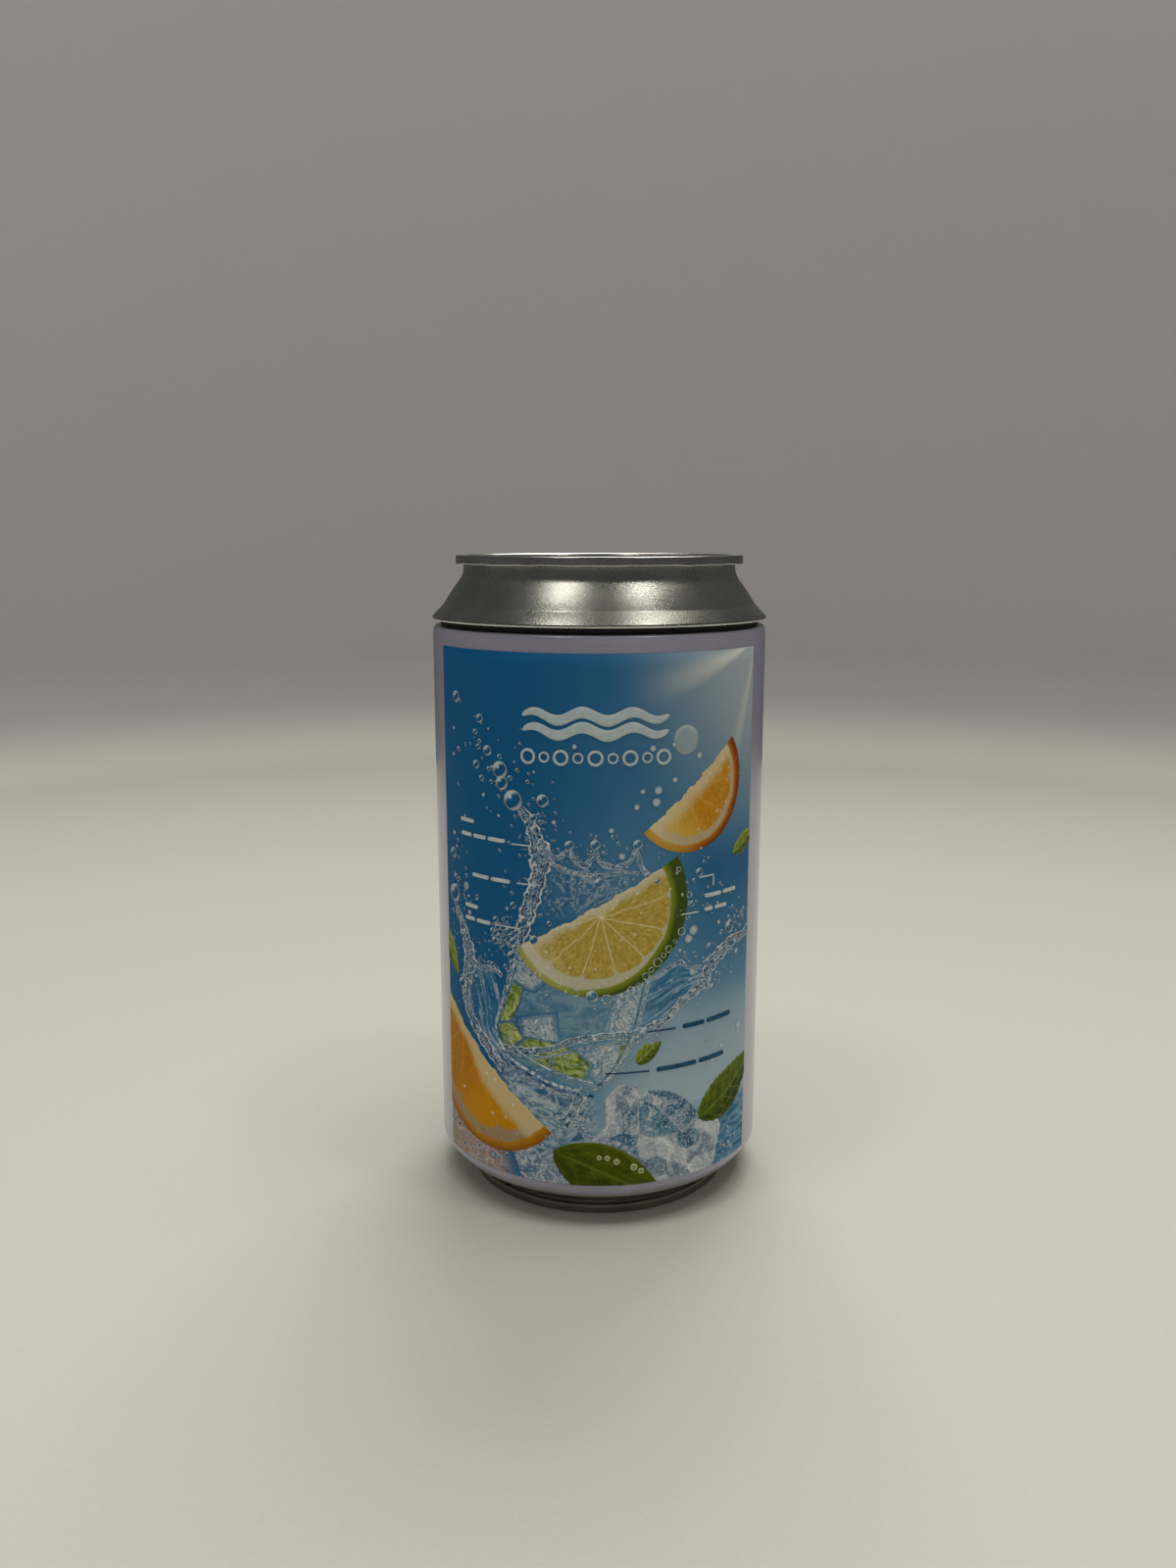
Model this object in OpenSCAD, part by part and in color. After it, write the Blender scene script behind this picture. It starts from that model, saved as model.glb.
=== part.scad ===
// A shut soda can of lacquered tinplate: a straight body with a wrapped front label, a flared neck
// with a seamed top end and stay-on tab, and a tapered foot with a seamed base end.
// Millimetres. The can stands on z = 0 with its axis on Z, and the label faces -Y.

/* [Can] */
// Outside diameter of the straight body
body_d = 66; // [64:0.5:67]
// Height from the standing surface to the top of the rim
can_h = 127; // [110:1:150]

/* [Foot] */
// Outside diameter of the seam ring that the can stands on
foot_ring_d = 53.6; // [50:0.2:54]
// Height of that ring
foot_ring_h = 1.9; // [1.5:0.1:2.2]
// Height of the whole foot, from the floor to the body
foot_h = 6.7; // [5.5:0.1:9]
// Depth of the recess in the underside
base_recess = 3; // [2.6:0.1:3.4]

/* [Body] */
// Width of the rolled lower edge of the body
body_roll = 1.3; // [0.8:0.1:1.8]
// Radius of the rolled upper edge of the body
body_bead = 0.9; // [0.5:0.1:1.2]

/* [Label] */
// Width of the label along the curve of the body
label_w = 72; // [40:1:90]
// Bare height of body below the label
label_lift = 2.6; // [2:0.1:20]
// Bare height of body above the label
label_drop = 3.2; // [2:0.1:20]
// Thickness of the label
label_t = 0.12; // [0.08:0.01:0.3]

/* [Neck] */
// Diameter of the upright wall under the rim
neck_d = 53.6; // [53:0.1:54]
// Height of the neck from its hem to the underside of the rim
neck_h = 10.7; // [10:0.1:12]
// Height of the dark gap between the body and the neck's hem
gap_h = 1.1; // [0.6:0.1:1.6]
// How far the dark collar in the gap sits inside the body's wall
collar_inset = 1.6; // [1.2:0.1:2.4]
// Height of the skirt, from the crease down to the hem
skirt_h = 2.9; // [2.4:0.1:3.4]
// Angle of the skirt from upright
skirt_angle = 44; // [40:1:48]
// Angle of the flare above the crease from upright
flare_angle = 35; // [32:1:38]
// Radius of the hollow curve that joins the flare to the upright wall
flare_r = 3; // [1.5:0.1:4]
// Radius of the rolled hem
hem_r = 0.45; // [0.3:0.05:0.6]

/* [Top end] */
// Outside diameter of the rim
rim_d = 56.7; // [56:0.1:58]
// Height of the rim
rim_h = 1.7; // [1.4:0.1:2.2]
// Depth of the flat panel below the rim
panel_depth = 4.6; // [4.4:0.1:4.8]
// Radius of the flat panel
panel_r = 22.9; // [21.5:0.1:23.2]
// Depth of the groove round the panel
groove_depth = 1.5; // [1:0.1:1.6]
// Thickness of the end plates
plate_t = 0.4; // [0.3:0.05:0.45]

/* [Tab] */
// Length of the tab
tab_l = 25; // [22:0.5:27]
// Width of the tab
tab_w = 15.6; // [14:0.2:17]
// Thickness of the tab with its curled edge
tab_t = 1.2; // [0.8:0.1:1.3]
// Gap between the tab and the panel
tab_gap = 0.8; // [0.5:0.1:0.9]
// Distance from the rivet to the tab's nose
nose_l = 7.5; // [6.5:0.1:8.5]

/* [Mouth] */
// Width of the scored mouth
mouth_w = 25; // [20:0.5:28]
// Length of the scored mouth
mouth_l = 16; // [13:0.5:18]
// Depth of the score line
score_depth = 0.15; // [0.05:0.05:0.2]

/* [Hidden] */

// Number of facets that OpenSCAD draws round the can
fine = 180;
body_r = body_d / 2;
rim_r = rim_d / 2;
neck_r = neck_d / 2;
ring_r = foot_ring_d / 2;

// Heights of the joints, from the floor up
rim_z = can_h - rim_h;
hem_z = rim_z - neck_h;
body_top = hem_z - gap_h;
crease_z = hem_z + skirt_h;
label_h = body_top - label_drop - foot_h - label_lift;
panel_z = can_h - panel_depth;
groove_z = panel_z - groove_depth;

// Seam rings: width of metal in the fold, and how much their corners are rounded
seam_w = 2.4;
seam_round = 0.5;
seam_lip = 0.2;
foot_seam_w = 1.6;
foot_seam_round = 0.4;

// Chuck wall: the slanted wall from the rim down to the groove
chuck_top_r = neck_r - 0.9;
chuck_low_r = chuck_top_r - 1.2;
groove_w = 1.1;
groove_rise = 0.6;

// Base end: the slanted wall between its recess and its ring
base_wall_r = ring_r - foot_seam_w;
base_slant = 0.2;

// Foot: radius of its upright stretch above the ring, and of its upper end under the body
foot_low_r = ring_r - 0.5;
foot_top_r = body_r - body_roll - 0.4;
foot_wall_h = 0.5;
foot_curve_r = 1.6;

// Rivet: shank, head and the boss under the tab
shank_r = 1.7;
head_r = 2.7;
head_h = 0.5;
boss_r = 3.4;
rivet_clearance = 0.05;

// Mouth: width of its score line, and the metal left between it and the panel's edge
score_w = 0.4;
mouth_margin = 2.2;

// The hem stands a little proud of the label, so that the can's box is centred on its axis
hem_proud = 0.03;

// Points on an arc about (cx, cz), from angle a0 to a1 in degrees
function arc(cx, cz, r, a0, a1, steps = 8) =
    [for (i = [0:steps]) let (a = a0 + (a1 - a0) * i / steps) [cx + r * cos(a), cz + r * sin(a)]];

// Underside of the top end from the axis outwards, which the neck also follows
function top_under() = [
    [0, panel_z - plate_t],
    [panel_r - plate_t, panel_z - plate_t],
    [panel_r - plate_t, groove_z - plate_t],
    [panel_r + groove_w + plate_t, groove_z - plate_t],
    [chuck_low_r + plate_t, groove_z + groove_rise],
    [chuck_top_r + plate_t, rim_z]
];

// Upper side of the base end from the axis outwards, which the foot also follows
function base_over() = [
    [0, base_recess + plate_t],
    [base_wall_r - base_slant, base_recess + plate_t],
    [base_wall_r + base_slant, foot_ring_h],
    [foot_low_r, foot_ring_h]
];

function reversed(points) = [for (i = [len(points) - 1:-1:0]) points[i]];

// Base end: a recessed plate whose edge is folded into the standing ring
module base_end() {
    outer_x = ring_r - foot_seam_round;
    inner_x = base_wall_r + foot_seam_round;
    color("dimgray")
        rotate_extrude($fn = fine)
            polygon(concat(
                base_over(),
                [[ring_r, foot_ring_h]],
                reversed(arc(outer_x, foot_seam_round, foot_seam_round, -90, 0, 5)),
                reversed(arc(inner_x, foot_seam_round, foot_seam_round, 180, 270, 5)),
                [[base_wall_r - 2 * base_slant, base_recess], [0, base_recess]]
            ));
}

// Foot: the taper from the body down to the standing ring, with a hollow curve at its lower end
module foot() {
    wall_z = foot_ring_h + foot_wall_h;
    curve_x = foot_low_r + foot_curve_r;
    color("darkgray")
        rotate_extrude($fn = fine)
            polygon(concat(
                base_over(),
                arc(curve_x, wall_z, foot_curve_r, 180, 120, 6),
                [[foot_top_r, foot_h], [0, foot_h]]
            ));
}

// Body: the straight lacquered wall with rolled edges, shut and solid
module body() {
    color([0.62, 0.6, 0.7])
        rotate_extrude($fn = fine)
            polygon(concat(
                [[0, foot_h]],
                arc(body_r - body_roll, foot_h + body_roll, body_roll, -90, 0),
                arc(body_r - body_bead, body_top - body_bead, body_bead, 0, 90),
                [[0, body_top]]
            ));
}

// Label: a thin sheet wrapped round the front of the body
module label() {
    half_turn = label_w / (body_r + label_t) * 90 / PI;
    color("steelblue")
        rotate([0, 0, -90 - half_turn])
            rotate_extrude(angle = 2 * half_turn, $fn = fine)
                translate([body_r, foot_h + label_lift])
                    square([label_t, label_h]);
}

// Collar: the dark disc that shows in the gap between the body and the neck
module collar() {
    color("black")
        translate([0, 0, body_top])
            cylinder(r = body_r - collar_inset, h = gap_h + hem_r, $fn = fine);
}

// Neck: hem, skirt, crease, flare and upright wall, solid under the top end
module neck() {
    hem_x = body_r + label_t + hem_proud - hem_r;
    hem_c = hem_z + hem_r;
    crease_r = hem_x + hem_r * cos(skirt_angle)
        - (crease_z - hem_c - hem_r * sin(skirt_angle)) * tan(skirt_angle);
    curve_end_r = neck_r + flare_r * (1 - cos(flare_angle));
    curve_end_z = crease_z + (crease_r - curve_end_r) / tan(flare_angle);
    curve_z = curve_end_z + flare_r * sin(flare_angle);
    color("gray")
        rotate_extrude($fn = fine)
            polygon(concat(
                [[0, hem_c], [hem_x - hem_r, hem_c]],
                arc(hem_x, hem_c, hem_r, 180, 360 + skirt_angle, 10),
                [[crease_r, crease_z]],
                arc(neck_r + flare_r, curve_z, flare_r, 180 + flare_angle, 180),
                [[neck_r, rim_z]],
                reversed(top_under())
            ));
}

// Top end: panel, groove and chuck wall, with its edge folded into the rim
module top_end() {
    outer_x = rim_r - seam_round;
    inner_x = rim_r - seam_w + seam_round;
    top_z = can_h - seam_round;
    color("silver")
        difference() {
            rotate_extrude($fn = fine)
                polygon(concat(
                    top_under(),
                    [[rim_r - seam_lip, rim_z], [rim_r, rim_z + seam_lip]],
                    arc(outer_x, top_z, seam_round, 0, 90, 6),
                    arc(inner_x, top_z, seam_round, 90, 180, 6),
                    [
                        [chuck_low_r, groove_z + groove_rise],
                        [panel_r + groove_w, groove_z],
                        [panel_r, groove_z],
                        [panel_r, panel_z],
                        [0, panel_z]
                    ]
                ));
            mouth_score();
        }
}

// Score line of the mouth, an oval cut into the panel in front of the rivet
module mouth_score() {
    translate([0, mouth_margin + mouth_l / 2 - panel_r, panel_z - score_depth])
        linear_extrude(1)
            difference() {
                polygon(oval(mouth_w / 2, mouth_l / 2, 0.85));
                polygon(oval(mouth_w / 2 - score_w, mouth_l / 2 - score_w, 0.85));
            }
}

// Oval with half-widths a and b; a squareness below 1 fills its corners
function oval(a, b, squareness = 1, steps = 48) =
    [for (i = [0:steps - 1])
        let (turn = 360 * i / steps, c = cos(turn), s = sin(turn))
        [a * sign(c) * pow(abs(c), squareness), b * sign(s) * pow(abs(s), squareness)]];

// Tab: its nose points at the front and its lifting end, with the finger hole, at the back
module tab() {
    hole_l = tab_l * 0.34;
    hole_w = tab_w * 0.56;
    centre_y = tab_l / 2 - nose_l;
    color("lightgray")
        translate([0, 0, panel_z + tab_gap])
            difference() {
                translate([0, centre_y, 0])
                    linear_extrude(tab_t)
                        polygon(oval(tab_w / 2, tab_l / 2, 0.8));
                translate([0, 0, -1])
                    cylinder(r = shank_r + rivet_clearance, h = tab_t + 2, $fn = 48);
                translate([0, centre_y + tab_l * 0.22, -1])
                    linear_extrude(tab_t + 2)
                        polygon(oval(hole_w / 2, hole_l / 2));
            }
}

// Rivet: a boss raised from the panel, a shank through the tab and a flat head
module rivet() {
    color("silver")
        translate([0, 0, panel_z]) {
            cylinder(r = boss_r, h = tab_gap, $fn = 64);
            cylinder(r = shank_r, h = tab_gap + tab_t + head_h, $fn = 64);
            translate([0, 0, tab_gap + tab_t])
                cylinder(r = head_r, h = head_h, $fn = 64);
        }
}

base_end();
foot();
body();
label();
collar();
neck();
top_end();
tab();
rivet();
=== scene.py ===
import math

import bmesh
import bpy
import numpy as np
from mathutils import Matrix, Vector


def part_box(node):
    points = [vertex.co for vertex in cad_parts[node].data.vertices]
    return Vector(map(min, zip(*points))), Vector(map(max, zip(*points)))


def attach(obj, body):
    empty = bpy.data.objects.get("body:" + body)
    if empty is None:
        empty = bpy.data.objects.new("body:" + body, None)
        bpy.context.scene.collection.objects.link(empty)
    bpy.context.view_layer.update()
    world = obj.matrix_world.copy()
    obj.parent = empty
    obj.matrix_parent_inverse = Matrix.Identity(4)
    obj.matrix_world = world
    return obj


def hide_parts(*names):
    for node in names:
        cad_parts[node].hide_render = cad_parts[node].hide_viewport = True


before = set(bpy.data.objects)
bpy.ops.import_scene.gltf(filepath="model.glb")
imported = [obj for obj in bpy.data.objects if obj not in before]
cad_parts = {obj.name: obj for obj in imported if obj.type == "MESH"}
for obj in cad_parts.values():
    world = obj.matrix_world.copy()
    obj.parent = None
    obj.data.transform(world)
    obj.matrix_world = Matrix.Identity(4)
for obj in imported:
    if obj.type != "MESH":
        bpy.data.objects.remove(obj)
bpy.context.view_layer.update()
mm = 0.001
print("frame loaded")


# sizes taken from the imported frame, in millimetres
def span(node):  # lowest and highest corner of one node
    low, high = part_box(node)
    return [value / mm for value in low], [value / mm for value in high]


baseHigh = span("base_end")[1]
footLow, footHigh = span("foot")
bodyLow, bodyHigh = span("body")
labelLow, labelHigh = span("label")
collarLow, collarHigh = span("collar")
neckLow, neckHigh = span("neck")
lidHigh = span("top_end")[1]
tabLow, tabHigh = span("tab")
rivetHigh = span("rivet")[1]

labelSkin = 0.12                        # thickness of the printed sheet
sheetR = bodyHigh[0] + labelSkin        # radius of the printed face
labelHalf = sheetR * math.asin(labelHigh[0] / sheetR)   # half its width along the curve
labelBase, labelTop = labelLow[2], labelHigh[2]

# distance, height and lens in millimetres, angles in degrees
cameraPlace = {"distance": 259.65, "height": 130.5, "tiltDown": 10.85, "turn": 0.8, "pan": 0.49,
               "lens": 29.63}


def makeCamera():
    data = bpy.data.cameras.new("camera")
    data.sensor_width = 36
    data.lens = cameraPlace["lens"]
    data.clip_start, data.clip_end = 0.01, 20
    camera = bpy.data.objects.new("camera", data)
    bpy.context.scene.collection.objects.link(camera)
    turn = math.radians(cameraPlace["turn"])
    reach = cameraPlace["distance"] * mm
    camera.location = (reach * math.sin(turn), -reach * math.cos(turn), cameraPlace["height"] * mm)
    camera.rotation_euler = (
        math.radians(90 - cameraPlace["tiltDown"]), 0, turn + math.radians(cameraPlace["pan"]))
    bpy.context.scene.camera = camera


makeCamera()
bpy.context.scene.view_settings.view_transform = "Standard"


def tone(red, green, blue):  # screen values from 0 to 255, turned into linear light
    value = np.array([red, green, blue]) / 255
    linear = np.where(value <= 0.04045, value / 12.92, ((value + 0.055) / 1.055) ** 2.4)
    return (*(float(part) for part in linear), 1.0)


shade = 0.38    # how bright a white print looks on the can's shaded front


def ink(red, green, blue):  # a printed tone as it looks in that shade, turned into the ink's own colour
    return (*(min(part / shade, 0.95) for part in tone(red, green, blue)[:3]), 1.0)


class Value:
    # a node's output that Python's operators work on; each operator adds one Math node
    def __init__(self, paint, socket):
        self.paint = paint
        self.socket = socket

    def __add__(self, other):
        return self.paint.math("ADD", self, other)

    def __sub__(self, other):
        return self.paint.math("SUBTRACT", self, other)

    def __rsub__(self, other):
        return self.paint.math("SUBTRACT", other, self)

    def __mul__(self, other):
        return self.paint.math("MULTIPLY", self, other)

    def __truediv__(self, other):
        return self.paint.math("DIVIDE", self, other)

    def __pow__(self, other):
        return self.paint.math("POWER", self, other)

    __radd__ = __add__
    __rmul__ = __mul__


class Paint:
    # one node material on a Principled shader; fixed holds the sockets that are the same all over
    def __init__(self, name, **fixed):
        self.material = bpy.data.materials.new(name)
        self.material.use_nodes = True
        self.tree = self.material.node_tree
        self.shader = self.tree.nodes["Principled BSDF"]
        for socket, value in fixed.items():
            self.shader.inputs[socket.replace("_", " ")].default_value = value

    def plug(self, target, value):
        if isinstance(value, Value):
            value = value.socket
        if isinstance(value, bpy.types.NodeSocket):
            self.tree.links.new(value, target)
        else:
            target.default_value = value

    def node(self, kind, settings=None, values=None, output=0):
        made = self.tree.nodes.new("ShaderNode" + kind)
        for key, value in (settings or {}).items():
            setattr(made, key, value)
        for key, value in (values or {}).items():
            self.plug(made.inputs[key], value)
        return Value(self, made.outputs[output])

    def math(self, operation, first, second=0.0, clamp=False):
        return self.node("Math", {"operation": operation, "use_clamp": clamp}, {0: first, 1: second})

    def coords(self):  # object coordinates in millimetres
        return self.scaled(self.node("TexCoord", output="Object"), 1 / mm)

    def scaled(self, vector, factor):  # factor is one number, or one for each axis
        factor = (factor,) * 3 if isinstance(factor, (int, float)) else factor
        return self.node("VectorMath", {"operation": "MULTIPLY"}, {0: vector, 1: factor})

    def uv(self, name):
        parts = self.split(self.node("UVMap", {"uv_map": name}))
        return parts[0], parts[1]

    def split(self, vector):
        made = self.tree.nodes.new("ShaderNodeSeparateXYZ")
        self.plug(made.inputs[0], vector)
        return [Value(self, output) for output in made.outputs]

    def join(self, x=0.0, y=0.0, z=0.0):
        return self.node("CombineXYZ", None, {0: x, 1: y, 2: z})

    def noise(self, vector, scale, detail, roughness=0.5, distortion=0.0):
        values = {"Vector": vector, "Scale": scale, "Detail": detail, "Roughness": roughness,
                  "Distortion": distortion}
        return self.node("TexNoise", None, values)

    def cells(self, vector, scale, output=0):  # output 0 is the distance to a cell's point, 1 its colour
        return self.node("TexVoronoi", None, {"Vector": vector, "Scale": scale}, output)

    def ramp(self, value, low, high):  # smooth step from 0 at low to 1 at high
        return self.node("MapRange", {"interpolation_type": "SMOOTHSTEP"}, {0: value, 1: low, 2: high})

    def band(self, value, low, inLow, inHigh, high):  # 1 between the two inner limits, 0 past the outer ones
        return self.ramp(value, low, inLow) * (1 - self.ramp(value, inHigh, high))

    def blend(self, factor, first, second):  # mixes two colours
        made = self.tree.nodes.new("ShaderNodeMix")
        made.data_type = "RGBA"
        for key, value in ((0, factor), (6, first), (7, second)):
            self.plug(made.inputs[key], value)
        return Value(self, made.outputs[2])

    def bump(self, height, depth):  # depth in millimetres
        self.set("Normal", self.node("Bump", None, {"Height": height, "Distance": depth * mm}))

    def set(self, socket, value):
        self.plug(self.shader.inputs[socket], value)

    def clamped(self, value):
        return self.math("ADD", value, 0.0, clamp=True)


def gridQuads(rows, cols, wrapRows=False, wrapCols=False):
    # corners of every cell of a grid of points, the last row or column meeting the first where it wraps
    lastRow, lastCol = rows - (not wrapRows), cols - (not wrapCols)
    row, col = (part.ravel() for part in np.meshgrid(np.arange(lastRow), np.arange(lastCol), indexing="ij"))
    nextRow, nextCol = (row + 1) % rows, (col + 1) % cols
    return np.stack([row * cols + col, nextRow * cols + col, nextRow * cols + nextCol,
                     row * cols + nextCol], 1)


def newMesh(name, points, faces):
    # points in millimetres, in an array of any shape that ends with x, y, z
    mesh = bpy.data.meshes.new(name)
    mesh.from_pydata((points.reshape(-1, 3) * mm).tolist(), [], faces.tolist())
    return mesh


def smoothFaces(mesh):
    mesh.polygons.foreach_set("use_smooth", np.ones(len(mesh.polygons), dtype=bool))


def addMap(mesh, name, perPoint):
    # a UV map from one value per point
    corners = np.empty(len(mesh.loops), dtype=np.int32)
    mesh.loops.foreach_get("vertex_index", corners)
    mesh.uv_layers.new(name=name).data.foreach_set("uv", perPoint[corners].astype(np.float32).ravel())


def makeObject(name, mesh, paint, slot, *nodes):
    # one finished piece, riding on the can, in place of the CAD nodes named
    piece = bpy.data.objects.new(name, mesh)
    bpy.context.scene.collection.objects.link(piece)
    mesh.materials.append(paint.material)
    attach(piece, "root")
    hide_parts(*nodes)
    return piece


def weld(shape, reach):
    # joins points that meet and drops faces that have no area
    bmesh.ops.remove_doubles(shape, verts=shape.verts, dist=reach)
    bmesh.ops.dissolve_degenerate(shape, edges=shape.edges, dist=reach)


def finishMesh(mesh, sharp):
    # closes poles and seams, turns faces outwards and keeps edges that are sharper than the angle
    shape = bmesh.new()
    shape.from_mesh(mesh)
    weld(shape, 1e-7)
    bmesh.ops.recalc_face_normals(shape, faces=shape.faces)
    shape.to_mesh(mesh)
    shape.free()
    smoothFaces(mesh)
    mesh.set_sharp_from_angle(angle=math.radians(sharp))


def lathe(name, profile, steps, shape=None):
    # a profile of (radius, height) carried round the Z axis; shape may then move the points
    profile = np.asarray(profile, dtype=float)
    angle, index = np.meshgrid(np.arange(steps) * 2 * np.pi / steps, np.arange(len(profile)), indexing="ij")
    radius, height = profile[index, 0], profile[index, 1]
    if shape:
        radius, height = shape(angle, radius, height)
    points = np.stack([radius * np.cos(angle), radius * np.sin(angle), height], -1)
    return newMesh(name, points, gridQuads(steps, len(profile), wrapRows=True))


def turned(name, node, profile, paint, slot, steps=288, shape=None):
    # a lathed piece that takes the place of one CAD node
    mesh = lathe(name, profile, steps, shape)
    finishMesh(mesh, 34)
    makeObject(name, mesh, paint, slot, node)


def rounded(corners, steps=7):
    # a line through corners (x, y, radius), each corner replaced by a round of that radius
    made = []
    for index, (x, y, radius) in enumerate(corners):
        here = np.array([x, y])
        if radius == 0 or index in (0, len(corners) - 1):
            made.append(here)
            continue
        before = np.array(corners[index - 1][:2]) - here
        after = np.array(corners[index + 1][:2]) - here
        before, after = before / np.linalg.norm(before), after / np.linalg.norm(after)
        half = math.acos(np.clip(before @ after, -1, 1)) / 2
        middle = (before + after) / np.linalg.norm(before + after)
        centre = here + middle * radius / math.sin(half)
        first = here + before * radius / math.tan(half) - centre
        last = here + after * radius / math.tan(half) - centre
        share = np.linspace(0, 1, steps)[:, None]
        arc = first * (1 - share) + last * share
        made.extend(centre + radius * arc / np.linalg.norm(arc, axis=1)[:, None])
    return np.array(made)


def tinplate(name, grain):
    # satin tin: a fine grain tilts the surface and the roughness wanders a little
    paint = Paint(name, Metallic=1.0)
    place = paint.coords()
    fine = paint.noise(place, 1 / grain["size"], 3.0, 0.65)
    cloud = paint.noise(place, 0.12, 3.0, 0.6)
    paint.set("Base Color", paint.blend(paint.ramp(cloud, 0.3, 0.7), grain["dark"], grain["light"]))
    paint.set("Roughness", grain["dullness"] + 0.1 * fine + 0.06 * cloud)
    paint.bump(fine, grain["depth"])
    return paint


neckGrain = {"size": 0.3, "depth": 0.03, "dullness": 0.2, "dark": tone(186, 186, 176),
             "light": tone(204, 203, 192)}
lidGrain = {"size": 0.5, "depth": 0.004, "dullness": 0.15, "dark": tone(190, 188, 178),
            "light": tone(206, 204, 196)}
# the foot's tin is toned darker than the neck's: painted shade for the contact shadow round the foot that it
# mirrors
footShadedGrain = {"size": 0.5, "depth": 0.002, "dullness": 0.12, "dark": tone(132, 131, 121),
             "light": tone(150, 149, 138)}
neckTin = tinplate("neck tinplate", neckGrain)
plainTin = tinplate("plain tinplate", lidGrain)
footTin = tinplate("foot tinplate", footShadedGrain)


lacquer = {"dark": tone(143, 140, 161), "light": tone(152, 149, 169), "speck": tone(150, 146, 158),
           "coatDullness": 0.2, "coatGloss": 1.7, "dullness": 0.3, "depth": 0.006}


def lilacLacquer():
    # glossy lacquer over a faintly clouded lilac, with a few paler specks
    paint = Paint("lilac lacquer", Coat_Roughness=lacquer["coatDullness"], Coat_Weight=1.0,
                  Coat_IOR=lacquer["coatGloss"])
    place = paint.coords()
    cloud = paint.noise(place, 0.06, 4.0, 0.6)
    specks = paint.ramp(paint.noise(place, 1.1, 2.0, 0.5), 0.7, 0.78)
    base = paint.blend(paint.ramp(cloud, 0.3, 0.7), lacquer["dark"], lacquer["light"])
    paint.set("Base Color", paint.blend(specks * 0.25, base, lacquer["speck"]))
    paint.set("Roughness", lacquer["dullness"] + 0.12 * cloud)
    paint.bump(paint.noise(place, 0.5, 2.0, 0.5), lacquer["depth"])
    return paint


gapShadeLook = {"dark": tone(10, 10, 9), "light": tone(26, 25, 23), "dullness": 0.45}


def darkCollar():
    # nearly black as painted shade for the deep shadow in the gap under the neck, mottled by a noise that
    # also changes the gloss
    paint = Paint("dark collar")
    shadeMottle = paint.noise(paint.coords(), 0.8, 4.0, 0.6)
    paint.set("Base Color", paint.blend(shadeMottle, gapShadeLook["dark"], gapShadeLook["light"]))
    paint.set("Roughness", gapShadeLook["dullness"] + 0.3 * shadeMottle)
    return paint


brushing = {"stretch": (6, 0.4, 2), "dark": tone(202, 202, 200), "light": tone(218, 218, 214),
            "dullness": 0.22, "depth": 0.003}


def tabMetal():
    # aluminium brushed along Y: a noise drawn out in that direction
    paint = Paint("tab aluminium", Metallic=1.0)
    place = paint.coords()
    brushed = paint.noise(paint.scaled(place, brushing["stretch"]), 1.0, 3.0, 0.6)
    paint.set("Base Color", paint.blend(brushed, brushing["dark"], brushing["light"]))
    paint.set("Roughness", brushing["dullness"] + 0.14 * brushed)
    paint.bump(brushed, brushing["depth"])
    return paint


lilac = lilacLacquer()
collarInk = darkCollar()
tabAluminium = tabMetal()
print("metal and lacquer made")


# inset is how far the hem stands inside the CAD neck's edge
neckShape = {"hemR": 0.45, "skirtH": 2.9, "skirtAngle": 44, "flareAngle": 35, "flareR": 2.6, "wallR": 26.8,
             "bow": 0.14, "inset": 0.1}
lidShape = {"panelDepth": 4.6, "panelR": 22.9, "grooveDepth": 1.5, "grooveIn": 23, "grooveOut": 24,
            "seamW": 2.4, "plate": 0.4, "chuckTop": 25.9, "chuckLow": 24.7}
rimZ = neckHigh[2]
canTop = lidHigh[2]
panelZ = canTop - lidShape["panelDepth"]
grooveZ = panelZ - lidShape["grooveDepth"]


def neckProfile():
    # from the inside out: a rolled hem (an arc), a straight skirt, a crease, a flare bowed by
    # bow * 4 * share * (1 - share), an upright wall, and back inside under the lid
    size = neckShape
    hemX, hemZ = neckHigh[0] - size["inset"] - size["hemR"], neckLow[2] + size["hemR"]
    skirt, flare = math.radians(size["skirtAngle"]), math.radians(size["flareAngle"])
    turn = np.linspace(math.pi, 2 * math.pi + skirt, 18)
    hem = np.stack([hemX + size["hemR"] * np.cos(turn), hemZ + size["hemR"] * np.sin(turn)], 1)
    creaseZ = neckLow[2] + size["skirtH"]
    creaseR = hem[-1, 0] - (creaseZ - hem[-1, 1]) * math.tan(skirt)
    bendZ = creaseZ + (creaseR - size["wallR"]) / math.tan(flare)
    bowed = []
    for share in (0.2, 0.4, 0.6):
        out = size["bow"] * 4 * share * (1 - share)
        bowed.append((creaseR + (size["wallR"] - creaseR) * share + out * math.cos(flare),
                      creaseZ + (bendZ - creaseZ) * share + out * math.sin(flare), 40))
    upper = rounded([(*hem[-1], 0), (creaseR, creaseZ, 1.6), *bowed,
                     (size["wallR"], bendZ, size["flareR"] * 1.7),
                     (size["wallR"], rimZ, 0)], 12)
    under = [(lidShape["chuckTop"] + lidShape["plate"], rimZ),
             (lidShape["grooveOut"], grooveZ - lidShape["plate"]), (0, grooveZ - lidShape["plate"])]
    return np.concatenate([[(0, hemZ), (hem[0, 0], hemZ)], hem, upper[1:], under])


turned("neckCap", "neck", neckProfile(), neckTin, "neck_tinplate")


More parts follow.
